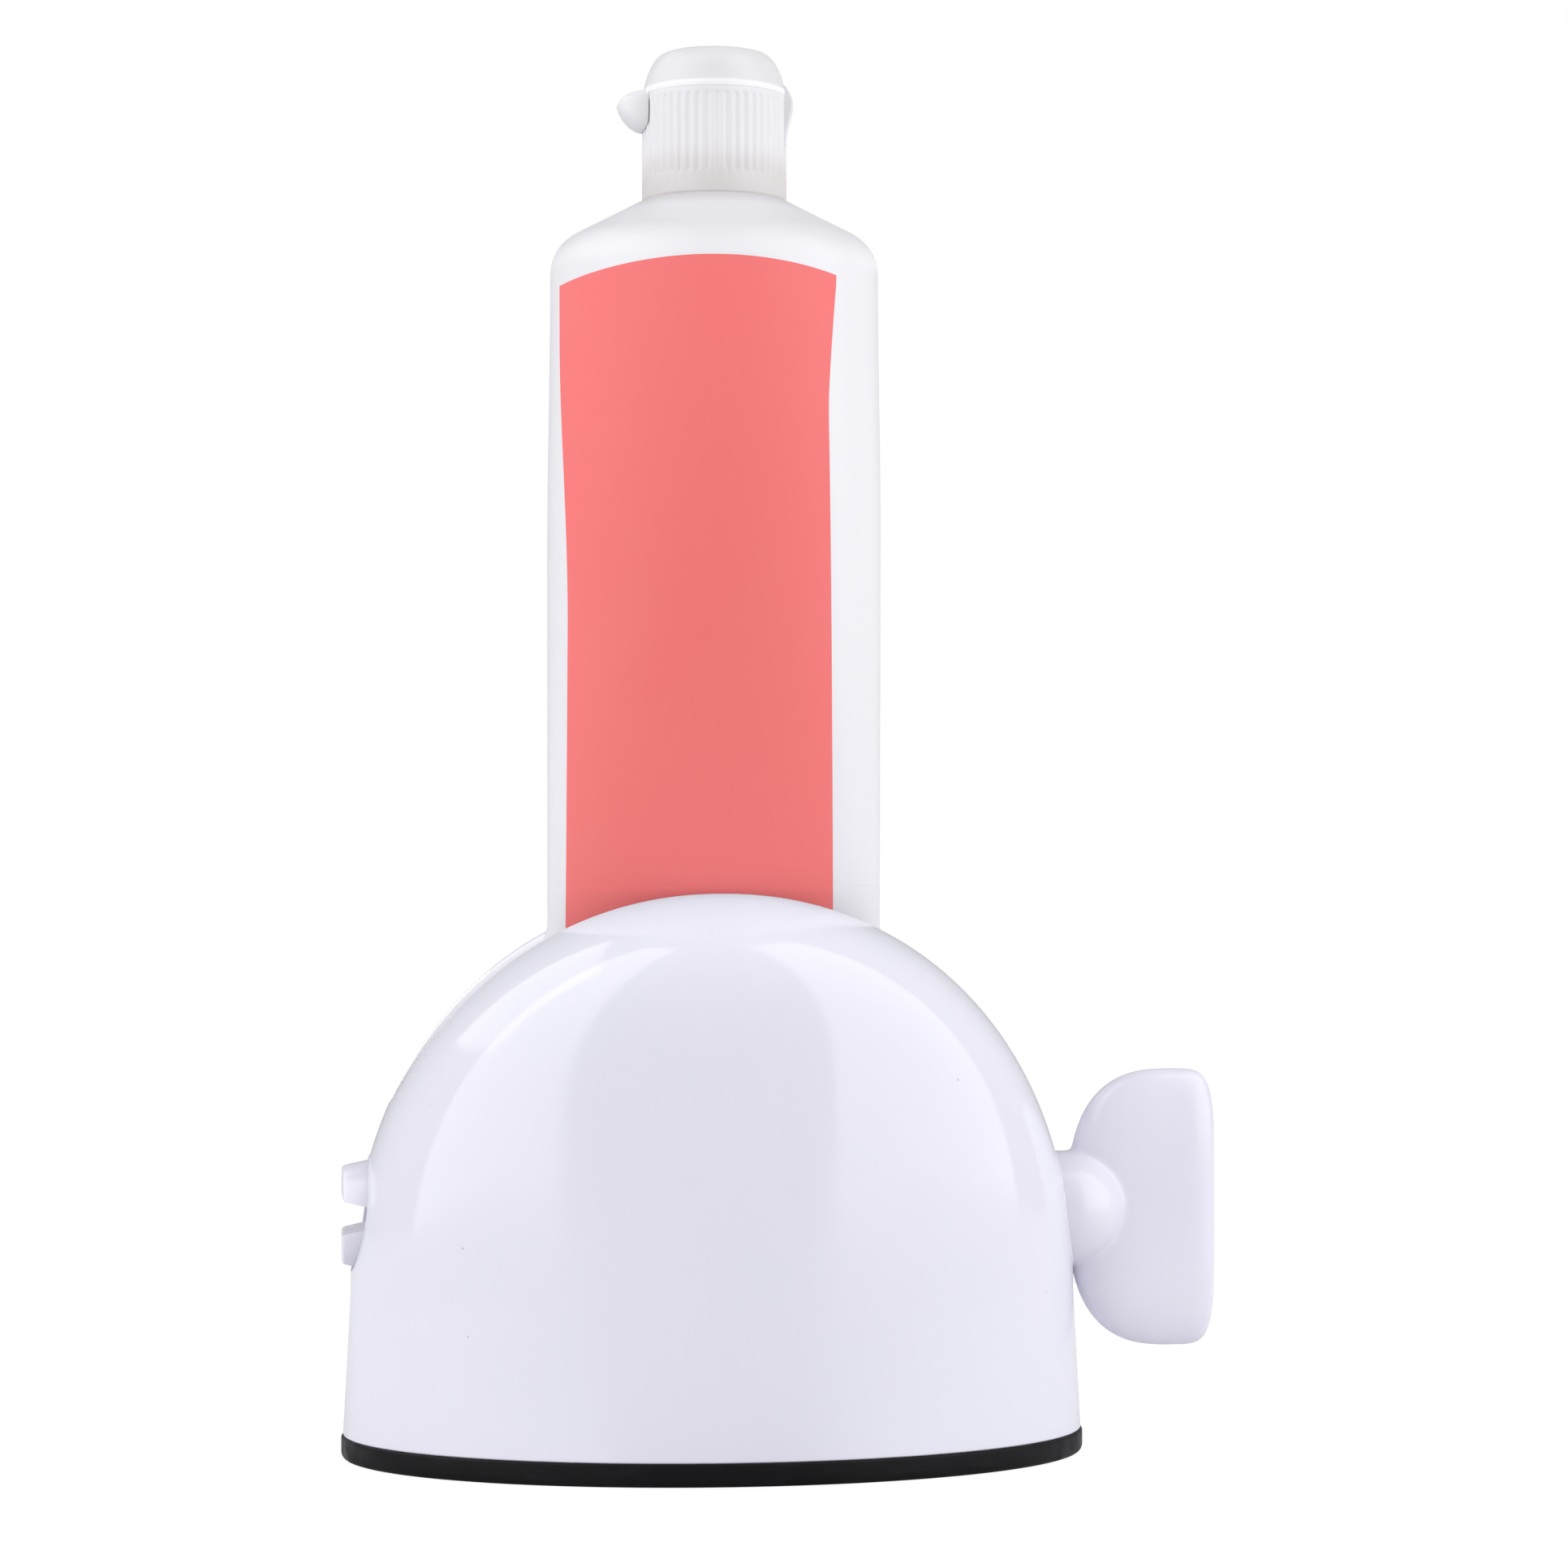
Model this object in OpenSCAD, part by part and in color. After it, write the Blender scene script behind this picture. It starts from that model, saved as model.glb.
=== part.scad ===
// Toothpaste dispenser: a half-dome stand whose winding key rolls up the tail of the tube that
// stands in it. X runs along the key, -Y is the front, Z is up. The origin is the middle of the
// underside of the rubber foot.

/* [Stand] */
// Length of the shell at its foot, along the key
stand_l = 91.2; // [84:0.2:104]
// Depth of the shell at its foot
stand_d = 60; // [54:0.5:70]
// Height of the closed crown above the table
crown_h = 69.5; // [64:0.5:80]
// Height at which the side walls end and the arch springs
spring_h = 19.8; // [15:0.2:24]
// Wall thickness of the shell
wall = 2.2; // [1.6:0.1:2.8]
// How far each end wall leans in between the foot and the spring line
end_lean = 0.9; // [0:0.1:2]
// How far the front and rear faces lean in between the foot and the crown
face_lean = 1.9; // [0:0.1:4]
// Fullness of the arch, 2 for a true ellipse
arch_power = 2.1; // [1.9:0.05:2.4]
// Tightness of the shoulder between face and crown
shoulder_power = 13; // [9:0.5:18]

/* [Slot] */
// Length of the slot over the crown
slot_l = 79; // [74:0.5:80]
// Width of the slot at the middle
slot_w = 18.8; // [17.6:0.2:24]
// Squareness of the slot's ends
slot_power = 2.8; // [2:0.1:4]

/* [Foot] */
// Thickness of the rubber foot pad
pad_t = 2.8; // [2:0.1:4]
// How far the pad stands out past the shell
pad_lip = 0.2; // [0:0.05:0.8]
// Radius of the pad's lower edge
pad_round = 0.7; // [0.3:0.1:1]
// Depth of the grip grooves under the pad
groove_depth = 0.6; // [0.3:0.1:1]
// Width of a grip groove
groove_w = 1.6; // [1:0.1:2.5]
// Distance of the first groove from the pad's edge, and from groove to groove
groove_step = 6; // [4:0.5:8]
// Thickness of the plate that closes the shell
plate_t = 2.6; // [2.4:0.1:3.4]
// Gap between the plate's edge and the shell
plate_gap = 0.25; // [0.15:0.05:0.5]

/* [Screws] */
// Radius of a screw's shank
screw_r = 1.3; // [1:0.05:1.5]
// Length of a screw under its head
screw_l = 8; // [6:0.5:10]
// Radius of a screw's head
head_r = 2.4; // [2.1:0.1:2.8]
// Height of a screw's head
head_h = 1.2; // [0.8:0.1:1.4]
// Radius of a screw boss
post_r = 3.2; // [2.8:0.1:4]
// Height of a screw boss above the plate
post_h = 11; // [10:0.5:12]
// Angle of the screws round the foot, from the long axis
screw_angle = 42; // [36:1:50]
// Gap between a screw and its hole
screw_gap = 0.08; // [0.05:0.01:0.15]

/* [Winding key] */
// Height of the key's axis
key_h = 29.75; // [28:0.25:32]
// Radius of the key's boss, which turns in the right wall
boss_r = 7.1; // [6.9:0.05:8]
// Radius of the pair of prongs
prong_r = 6.8; // [6:0.05:6.85]
// Gap between the prongs, where the tail is held
key_gap = 1.5; // [1.4:0.1:2.4]
// Gap between the prongs at their tips
tip_gap = 4; // [2.6:0.1:5]
// Radius of the pair at the tips
tip_r = 6; // [5:0.1:6.2]
// Length of the tapered tips
tip_l = 3.6; // [2:0.1:6]
// Length over which the gap narrows from the tips inwards
gap_taper_l = 6; // [4:0.1:10]
// How far the tips reach past the shell's left wall
tip_out = 1.75; // [0.5:0.05:5]
// Distance of the ball's end from the shell's right wall
ball_out = 7.45; // [7.2:0.05:10]
// Length of the boss inside the right wall
boss_in = 3.5; // [2:0.1:5]
// Running gap of the key in its holes
key_fit = 0.08; // [0.04:0.01:0.1]
// Width of the key's wing, along the axis
wing_w = 18.6; // [16:0.1:24]
// Height of the wing
wing_h = 34.6; // [28:0.2:42]
// Thickness of the wing at its middle
wing_t = 6; // [4:0.1:8]
// Distance of the wing's tallest place from its outer edge
wing_peak = 5.8; // [4:0.1:8]
// Roundness of the wing's inner side and squareness of its outer side
wing_inner_power = 2.65; // [2:0.05:3]
wing_outer_power = 5; // [3:0.1:6]

/* [Rolled tail] */
// Thickness of the flattened tail
tail_t = 0.9; // [0.6:0.05:1]
// Gap between one turn and the next
turn_gap = 0.15; // [0.1:0.01:0.3]
// Gap between the first turn and the prongs
core_gap = 0.3; // [0.2:0.01:0.5]
// Turns already wound on the key
turns = 1.5; // [1.5:1:2.5]
// Width of the flattened tail
tail_w = 62.8; // [54:0.2:66]
// Gap between separately moving stretches of the tube
part_gap = 0.3; // [0.2:0.05:0.5]

/* [Tube] */
// Diameter of the tube under its shoulder
tube_d = 40.4; // [36:0.2:43]
// Height at which the sleeve meets the shoulder
sleeve_h = 145.2; // [130:0.1:170]
// Height of the fixed end of the moving sleeve, just over the rim
pinch_h = 70.5; // [70:0.1:72]
// Thickness of the sleeve's film
film_t = 0.45; // [0.3:0.05:0.7]
// Gap between the tube and the slot's lips, at the middle
lip_gap = 0.8; // [0.6:0.1:2]
// Height of the sloping shoulder
shoulder_h = 9; // [7:0.1:11]
// Radius of the shoulder's outer corner
corner_r = 5.1; // [4:0.1:6]
// Thickness of the moulded shoulder
head_t = 1.4; // [1:0.1:2]
// Depth of the shoulder's skirt inside the sleeve
head_skirt = 4; // [2:0.5:6]
// Radius of the threaded neck
neck_r = 6.6; // [6:0.1:7]
// Length of the neck above the shoulder
neck_l = 9.5; // [8:0.1:10]
// Radius of the paste's way through the neck
neck_bore_r = 4; // [3:0.1:5]

/* [Label] */
// How far the label reaches to the left of the middle
label_left = 18.4; // [14:0.1:19]
// How far the label reaches to the right of the middle
label_right = 14.4; // [10:0.1:18]
// Distance from the sleeve's top to the label's top edge
label_drop = 0.3; // [0.2:0.1:6]
// How much the label's top edge falls away at its left end
label_arch = 1.9; // [0:0.1:3]
// How far the label runs down behind the slot's lip
label_foot = 14; // [8:0.5:16]
// Thickness of the label
label_t = 0.2; // [0.15:0.05:0.3]

/* [Cap] */
// Diameter of the cap's skirt
cap_d = 17.8; // [16.6:0.1:20]
// Height of the skirt
cap_h = 12.6; // [11.8:0.1:15]
// Gap between the skirt and the shoulder
cap_gap = 0.3; // [0.2:0.05:0.6]
// Height of the plain band under the ribs
band_h = 2.1; // [1:0.1:3]
// Number of grip ribs
ribs = 48; // [36:1:60]
// Depth of the grooves between the ribs
rib_depth = 0.35; // [0.2:0.05:0.5]
// Gap between the neck and the cap
neck_gap = 0.15; // [0.1:0.05:0.3]
// Thickness of the deck that carries the nozzle
deck_t = 1.6; // [1.2:0.1:2]
// Radius of the nozzle's mouth
mouth_r = 2.2; // [1.8:0.1:2.8]

/* [Lid] */
// Height of the lid
lid_h = 5.4; // [5:0.1:7]
// Radius of the lid's flat top
lid_top_r = 6.3; // [5.4:0.1:6.8]
// Wall thickness of the lid
lid_wall = 1.2; // [1:0.1:1.5]
// Gap between the lid and the deck
lid_gap = 0.15; // [0.1:0.05:0.3]
// Depth of the hollow in the lid
lid_hollow = 3.6; // [3:0.1:3.9]
// Gap between the lid's plug and the nozzle's mouth
plug_gap = 0.15; // [0.1:0.05:0.3]
// Reach of the thumb tab past the skirt
tab_l = 3.15; // [2:0.05:5]
// Height of the thumb tab at its root
tab_h = 4.6; // [3:0.1:6]
// Width of the living hinge
hinge_w = 6; // [4:0.2:8]
// Thickness of the living hinge where it bulges
hinge_t = 0.8; // [0.5:0.05:1]
// Height of the living hinge below the seam
hinge_h = 6; // [4:0.2:8]

/* [Hidden] */

foot_h = pad_t;
plate_top = foot_h + plate_t;
round_fn = 96;
steps = 26;
columns = 96;

// Steps of the shell's grid: up the wall, then round the shoulder
outer_wall_rows = 8;
outer_shoulder_rows = 9;
inner_wall_rows = 5;
inner_shoulder_rows = 5;
shoulder_depth = 12;

function mix(a, b, t) = a + (b - a) * t;
function clamp(t) = max(0, min(1, t));
function ease(t) = clamp(t) * clamp(t) * (3 - 2 * clamp(t));
function signed_power(a, n) = (a < 0 ? -1 : 1) * pow(abs(a), n);
function oval(a, b, n, t) = [a * signed_power(cos(t), 2 / n), b * signed_power(sin(t), 2 / n)];
function ellipse(a, b, count) = [for (i = [0:count - 1]) oval(a, b, 2, 360 * i / count)];

// The shell's form. inset is 0 on the outer skin and the wall thickness on the inner one.
function half_length(z, inset) =
    stand_l / 2 - inset - end_lean * clamp((z - foot_h) / (spring_h - foot_h));
function half_depth(z, inset) =
    stand_d / 2 - inset - face_lean * (z - foot_h) / (crown_h - foot_h);
function arch_radius(x, z) = pow(pow(x, arch_power) + pow(z, arch_power), 1 / arch_power);
function dome_blend(u, r) = r < 0.0001 ? 0 : pow(r, shoulder_power) * (1 - pow(u / r, 2));

// Below zero inside the skin, zero on it and above zero outside
function dome(x, y, z, inset) =
    let (u = abs(x) / half_length(z, inset),
        v = y / half_depth(z, inset),
        w = max(0, z - spring_h) / (crown_h - inset - spring_h))
    v * v + u * u + dome_blend(u, arch_radius(u, w)) - 1;

// Distance from a point inside to the skin, along a direction, by halving
function reach(p, d, inset, near, far, n) =
    let (m = (near + far) / 2, q = p + d * m)
    n == 0 ? m
    : dome(q[0], q[1], q[2], inset) > 0 ? reach(p, d, inset, near, m, n - 1)
    : reach(p, d, inset, m, far, n - 1);

// One column of the skin's grid, from the foot up to the slot's rim
function skin_column(t, inset, wall_rows, shoulder_rows) =
    let (s = oval(slot_l / 2, slot_w / 2, slot_power, t),
        e = oval(stand_l / 2, stand_d / 2, 2, t),
        d = (e - s) / norm(e - s),
        rim = spring_h + reach([s[0], s[1], spring_h], [0, 0, 1], inset, 0, crown_h, steps),
        turn = rim - shoulder_depth)
    concat(
        [for (k = [0:wall_rows - 1])
            let (z = mix(foot_h, turn, k / wall_rows),
                m = reach([s[0], s[1], z], [d[0], d[1], 0], inset, 0, stand_d, steps))
            [s[0] + d[0] * m, s[1] + d[1] * m, z]],
        [for (k = [0:shoulder_rows])
            let (a = 90 * k / shoulder_rows,
                way = [d[0] * cos(a), d[1] * cos(a), sin(a)],
                m = reach([s[0], s[1], turn], way, inset, 0, stand_d, steps))
            [s[0], s[1], turn] + way * m]);

function skin(inset, wall_rows, shoulder_rows) =
    [for (i = [0:columns - 1]) skin_column(360 * (i + 0.5) / columns, inset, wall_rows,
        shoulder_rows)];

// A grid given by columns, turned into rings from the lowest to the highest
function rings_of(grid) = [for (k = [0:len(grid[0]) - 1]) [for (i = [0:len(grid) - 1]) grid[i][k]]];

function flatten(list) = [for (row = list) for (item = row) item];
function backwards(list) = [for (i = [len(list) - 1:-1:0]) list[i]];

// The faces between stacked rings of n points, seen clockwise from outside
function ring_faces(n, first, count) =
    [for (k = [0:count - 2]) for (i = [0:n - 1])
        let (a = first + k * n + i, b = first + k * n + (i + 1) % n)
        each [[a, a + n, b], [b, a + n, b + n]]];

// A closed body through rings stacked upwards
module loft(rings) {
    n = len(rings[0]);
    top = (len(rings) - 1) * n;
    polyhedron(
        points = flatten(rings),
        faces = concat(
            ring_faces(n, 0, len(rings)),
            [[for (i = [0:n - 1]) i]],
            [[for (i = [n - 1:-1:0]) top + i]]),
        convexity = 4);
}

// A ring-shaped wall between outer and inner rings, open at the bottom and at the top
module tube_loft(outer, inner) {
    n = len(outer[0]);
    loop = concat(outer, backwards(inner));
    count = len(loop);
    closing = [for (i = [0:n - 1])
        let (a = (count - 1) * n + i, b = (count - 1) * n + (i + 1) % n, c = i, d = (i + 1) % n)
        each [[a, c, b], [b, c, d]]];
    polyhedron(
        points = flatten(loop),
        faces = concat(ring_faces(n, 0, count), closing),
        convexity = 8);
}

// The shell's half length on the key's axis
wall_x = reach([0, 0, key_h], [1, 0, 0], 0, 0, stand_l, steps);
tip_x = -(wall_x + tip_out);
ball_end = wall_x + ball_out;
ball_x = ball_end - boss_r;
boss_end = wall_x - wall - boss_in;

// Middle of the screw on one corner
screw_wall = oval(stand_l / 2 - wall, stand_d / 2 - wall, 2, screw_angle);
screw_normal = [screw_wall[0] / pow(stand_l / 2 - wall, 2), screw_wall[1] / pow(stand_d / 2 - wall, 2)];
post_bite = 0.8;
screw_at = screw_wall - screw_normal / norm(screw_normal) * (post_r - post_bite);
screw_seat = foot_h + head_h + 0.2;

module at_screws() {
    for (sx = [-1, 1])
        for (sy = [-1, 1])
            translate([sx * screw_at[0], sy * screw_at[1], 0])
                children();
}

module along_x(x) {
    translate([x, 0, key_h])
        rotate([0, 90, 0])
            children();
}

module housing() {
    color([0.9, 0.9, 0.94])
        difference() {
            union() {
                tube_loft(rings_of(skin(0, outer_wall_rows, outer_shoulder_rows)),
                    rings_of(skin(wall, inner_wall_rows, inner_shoulder_rows)));
                at_screws()
                    translate([0, 0, plate_top])
                        cylinder(r = post_r, h = post_h, $fn = round_fn);
            }
            along_x(wall_x - 4 * wall)
                cylinder(r = boss_r + key_fit, h = 6 * wall, $fn = round_fn);
            along_x(-wall_x - 2 * wall)
                cylinder(r = prong_r + key_fit, h = 6 * wall, $fn = round_fn);
            at_screws()
                translate([0, 0, plate_top - 1])
                    cylinder(r = screw_r + screw_gap, h = screw_l, $fn = round_fn);
        }
}

module base_plate() {
    inset = wall + plate_gap + end_lean / 2;
    color([0.16, 0.16, 0.17])
        difference() {
            translate([0, 0, foot_h])
                linear_extrude(plate_t)
                    polygon(ellipse(stand_l / 2 - inset, stand_d / 2 - inset, columns));
            at_screws() {
                translate([0, 0, foot_h - 1])
                    cylinder(r = head_r + 2 * screw_gap, h = screw_seat - foot_h + 1, $fn = round_fn);
                translate([0, 0, foot_h - 1])
                    cylinder(r = screw_r + 2 * screw_gap, h = plate_t + 2, $fn = round_fn);
            }
        }
}

module base_screws() {
    drive_w = 0.6;
    drive_l = 1.5 * head_r;
    color([0.72, 0.72, 0.74])
        at_screws()
            difference() {
                union() {
                    translate([0, 0, screw_seat - head_h])
                        cylinder(r = head_r, h = head_h, $fn = round_fn);
                    translate([0, 0, screw_seat - head_h / 2])
                        cylinder(r = screw_r, h = screw_l - 2, $fn = round_fn);
                    translate([0, 0, screw_seat - head_h / 2 + screw_l - 2])
                        cylinder(r1 = screw_r, r2 = screw_r / 3, h = 1.5, $fn = round_fn);
                }
                for (a = [0, 90])
                    rotate(a)
                        translate([-drive_l / 2, -drive_w / 2, screw_seat - head_h - 1])
                            cube([drive_l, drive_w, 1 + head_h / 2]);
            }
}

module base_pad() {
    l = stand_l / 2 + pad_lip;
    d = stand_d / 2 + pad_lip;
    edge = [for (a = [0:30:90]) [pad_round * (1 - sin(a)), pad_round * (1 - cos(a))]];
    color([0.11, 0.11, 0.12])
        difference() {
            loft(concat(
                [for (p = edge) [for (q = ellipse(l - p[0], d - p[0], columns)) [q[0], q[1], p[1]]]],
                [[for (q = ellipse(l, d, columns)) [q[0], q[1], pad_t]]]));
            for (k = [1:3])
                translate([0, 0, -1])
                    linear_extrude(1 + groove_depth)
                        difference() {
                            polygon(ellipse(l - k * groove_step, d - k * groove_step, 72));
                            polygon(ellipse(l - k * groove_step - groove_w,
                                d - k * groove_step - groove_w, 72));
                        }
        }
}

// Outline of the wing, from its tallest place, scaled by s
function wing_point(s, t) =
    cos(t) < 0
    ? s * oval(wing_w - wing_peak, wing_h / 2, wing_inner_power, t)
    : s * oval(wing_peak, wing_h / 2, wing_outer_power, t);
function wing_half(s) = wing_t / 2 * pow(1 - pow(s, 5), 0.42);

module wing() {
    sizes = [0.3, 0.55, 0.74, 0.86, 0.93, 0.97, 0.99];
    levels = concat([for (s = sizes) [s, -wing_half(s)]], [[1, 0]],
        [for (s = backwards(sizes)) [s, wing_half(s)]]);
    translate([ball_x + wing_w - wing_peak, 0, key_h])
        rotate([90, 0, 0])
            loft([for (v = levels)
                [for (i = [0:47]) let (p = wing_point(v[0], 7.5 * i)) [p[0], p[1], v[1]]]]);
}

module winding_key() {
    ball = [for (a = [90:-9:0]) [boss_r * sin(a), ball_x + boss_r * cos(a)]];
    color([0.88, 0.88, 0.93])
        difference() {
            union() {
                translate([0, 0, key_h])
                    rotate([0, 90, 0])
                        rotate_extrude($fn = round_fn)
                            polygon(concat(
                                [[0, tip_x], [tip_r, tip_x], [prong_r, tip_x + tip_l],
                                    [prong_r, boss_end], [boss_r, boss_end]],
                                ball));
                wing();
            }
            translate([tip_x - 1, -boss_r, key_h - key_gap / 2])
                cube([boss_end - 2 - tip_x, 2 * boss_r, key_gap]);
            translate([tip_x - 0.01, boss_r, key_h])
                rotate([90, 0, 0])
                    linear_extrude(2 * boss_r)
                        polygon([[-1, -tip_gap / 2], [0, -tip_gap / 2],
                            [gap_taper_l, -key_gap / 2], [gap_taper_l, key_gap / 2],
                            [0, tip_gap / 2], [-1, tip_gap / 2]]);
        }
}

// The rolled tail, drawn in the plane across the key with the key's axis at the origin
turn_pitch = tail_t + turn_gap;
bend_r = key_gap / 2;
corner_y = prong_r - 0.04;
start_r = prong_r + core_gap + tail_t / 2;
wound = 360 * turns;
exit_y = start_r + turn_pitch * turns;

function spiral_point(a) = let (r = start_r + turn_pitch * (a + wound) / 360) [r * cos(a), r * sin(a)];
spiral_line = concat(
    [[corner_y - 1.5, 0], [0, 0]],
    [for (a = [90:22.5:180]) [-corner_y + mix(bend_r, start_r - corner_y, (a - 90) / 90) * cos(a),
        bend_r * (sin(a) - 1)]],
    [for (a = [-wound + 18:9:0]) spiral_point(a)]);

function side_of(line, i) =
    let (a = line[max(0, i - 1)], b = line[min(len(line) - 1, i + 1)], d = b - a)
    [-d[1], d[0]] / norm(d);
function band(line, t) = concat(
    [for (i = [0:len(line) - 1]) line[i] + side_of(line, i) * t / 2],
    [for (i = [len(line) - 1:-1:0]) line[i] - side_of(line, i) * t / 2]);

module tail_roll() {
    color([0.93, 0.93, 0.95])
        translate([-tail_w / 2, 0, key_h])
            rotate([90, 0, 90])
                linear_extrude(tail_w)
                    polygon(band(spiral_line, tail_t));
}

// Sections of the flattened tube: half width, half thickness and middle at height z
pinch_t = slot_w / 2 - lip_gap;
slot_top = pinch_h - 1.5;
web_low = key_h;
web_y = exit_y + tail_t + part_gap;
flare_top = slot_top - 3;
flare_low = 42;

function tube_half_width(z) =
    mix(tube_d / 2, tail_w / 2, ease((flare_top - z) / (flare_top - flare_low)));
function tube_half_thick(z) =
    z > slot_top
    ? mix(pinch_t, tube_d / 2, sin(90 * clamp((z - slot_top) / (sleeve_h - slot_top))))
    : mix(tail_t / 2, pinch_t, pow(clamp((z - web_low - 4) / (slot_top - web_low - 4)), 1.2));
function tube_middle(z) = web_y * ease((flare_top - z) / (flare_top - web_low - 4));
function tube_ring(z, inset, count) =
    [for (p = ellipse(tube_half_width(z) - inset, tube_half_thick(z) - inset, count))
        [p[0], p[1] + tube_middle(z), z]];
function heights(low, high, count) = [for (k = [0:count]) mix(low, high, k / count)];

tube_columns = 48;

module tail_web() {
    color([0.93, 0.93, 0.95])
        loft([for (z = heights(web_low, pinch_h - part_gap, 12)) tube_ring(z, 0, tube_columns)]);
}

module tube_sleeve() {
    levels = heights(pinch_h, sleeve_h, 10);
    color([0.94, 0.94, 0.96])
        tube_loft([for (z = levels) tube_ring(z, 0, tube_columns)],
            [for (z = levels) tube_ring(z, film_t, tube_columns)]);
}

module toothpaste() {
    inset = film_t + part_gap / 2;
    color([0.95, 0.97, 0.98])
        loft([for (z = heights(pinch_h + part_gap, sleeve_h - head_skirt - part_gap, 8))
            tube_ring(z, inset, 36)]);
}

// A thin film between two grids of points, each given by rows
module film(outer, inner) {
    n = len(outer[0]);
    rows = len(outer);
    shift = n * rows;
    sheet = [for (k = [0:rows - 2]) for (i = [0:n - 2])
        let (a = k * n + i)
        each [[a, a + n, a + 1], [a + 1, a + n, a + n + 1]]];
    back = [for (f = sheet) [f[2] + shift, f[1] + shift, f[0] + shift]];
    rim = concat([for (i = [0:n - 1]) i], [for (k = [1:rows - 1]) k * n + n - 1],
        [for (i = [n - 2:-1:0]) (rows - 1) * n + i], [for (k = [rows - 2:-1:1]) k * n]);
    edge = [for (i = [0:len(rim) - 1])
        let (a = rim[i], b = rim[(i + 1) % len(rim)])
        each [[a, b, a + shift], [b, b + shift, a + shift]]];
    polyhedron(
        points = concat(flatten(outer), flatten(inner)),
        faces = concat(sheet, back, edge),
        convexity = 4);
}

// The label's grid: x is measured across the front, and the film follows the tube's section
function label_angle(x, z) = asin(clamp(abs(x) / tube_half_width(z))) * (x < 0 ? -1 : 1);
function label_top(x) =
    sleeve_h - label_drop - label_arch * pow((x + 1.5) / (label_left - 1.5), 2);
function label_point(x, z, out) =
    let (a = label_angle(x, z))
    [(tube_half_width(z) + out) * sin(a),
        tube_middle(z) - (tube_half_thick(z) + out) * cos(a), z];
function label_rows(low, high, rows, across, out) =
    [for (k = [0:rows]) [for (i = [0:across])
        let (x = mix(-label_left, label_right, i / across))
        label_point(x, mix(low, min(high, label_top(x)), k / rows), out)]];

module label_film(low, high, rows, across) {
    lift = 0.1;
    color([0.96, 0.47, 0.47])
        film(label_rows(low, high, rows, across, lift + label_t),
            label_rows(low, high, rows, across, lift));
}

module tube_label() {
    label_film(pinch_h, sleeve_h, 10, 24);
}

module label_tail() {
    label_film(pinch_h - part_gap - label_foot, pinch_h - part_gap, 8, 24);
}

// The shoulder's outer profile as radius and height
head_r_top = cap_d / 2 + 0.1;
head_top = sleeve_h + shoulder_h;
tube_r = tube_d / 2;
slope = atan2(shoulder_h - corner_r * 0.72, tube_r - head_r_top - corner_r * 0.45);
head_line = concat(
    [for (a = [0:9:90 - slope]) [tube_r - corner_r * (1 - cos(a)), sleeve_h + corner_r * sin(a)]],
    [[head_r_top, head_top]]);

module tube_head() {
    skirt_r = tube_r - film_t - 0.15;
    color([0.94, 0.94, 0.95])
        rotate_extrude($fn = round_fn)
            polygon(concat(
                [[skirt_r - head_t, sleeve_h - head_skirt], [skirt_r, sleeve_h - head_skirt],
                    [skirt_r, sleeve_h + part_gap / 3], [tube_r, sleeve_h + part_gap / 3]],
                [for (p = head_line) if (p[1] > sleeve_h + part_gap) p],
                [[neck_r, head_top], [neck_r, head_top + neck_l], [neck_bore_r, head_top + neck_l],
                    [neck_bore_r, head_top - head_t],
                    [head_r_top - 0.5, head_top - head_t - 0.3],
                    [tube_r - corner_r, sleeve_h + corner_r - head_t]]));
}

cap_low = head_top + cap_gap;
seam_h = cap_low + cap_h;
cap_r = cap_d / 2;
rib_sink = 0.05;

function rib_outline() = flatten([for (i = [0:ribs - 1])
    let (a = 360 * i / ribs, p = 360 / ribs)
    [for (s = [[0.06, 0], [0.44, 0], [0.62, rib_depth], [0.88, rib_depth]])
        (cap_r - rib_sink - s[1]) * [cos(a + p * s[0]), sin(a + p * s[0])]]]);

module cap_body() {
    lip_r = mouth_r + 1;
    lip_h = 0.7;
    color([0.92, 0.91, 0.92])
        difference() {
            union() {
                translate([0, 0, cap_low])
                    cylinder(r = cap_r, h = band_h, $fn = round_fn);
                translate([0, 0, cap_low + band_h - 0.1])
                    linear_extrude(cap_h - band_h - 0.3)
                        polygon(rib_outline());
                translate([0, 0, seam_h - 0.6])
                    cylinder(r = cap_r, h = 0.6, $fn = round_fn);
                translate([0, 0, seam_h - 0.1])
                    cylinder(r = lip_r, h = 0.1 + lip_h, $fn = round_fn);
            }
            translate([0, 0, cap_low - 1])
                cylinder(r = neck_r + neck_gap, h = cap_h - deck_t + 1, $fn = round_fn);
            translate([0, 0, cap_low])
                cylinder(r = mouth_r, h = cap_h + 2, $fn = round_fn);
        }
}

module cap_hinge() {
    color([0.92, 0.91, 0.92])
        translate([0, hinge_w / 2, 0])
            rotate([90, 0, 0])
                linear_extrude(hinge_w)
                    polygon([[cap_r + 0.02, seam_h - hinge_h], [cap_r + 0.1, seam_h - hinge_h],
                        [cap_r + 0.6 * hinge_t, seam_h - 0.45 * hinge_h],
                        [cap_r + hinge_t, seam_h - 0.18 * hinge_h],
                        [cap_r + 0.8 * hinge_t, seam_h], [cap_r + 0.02, seam_h]]);
}

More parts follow.
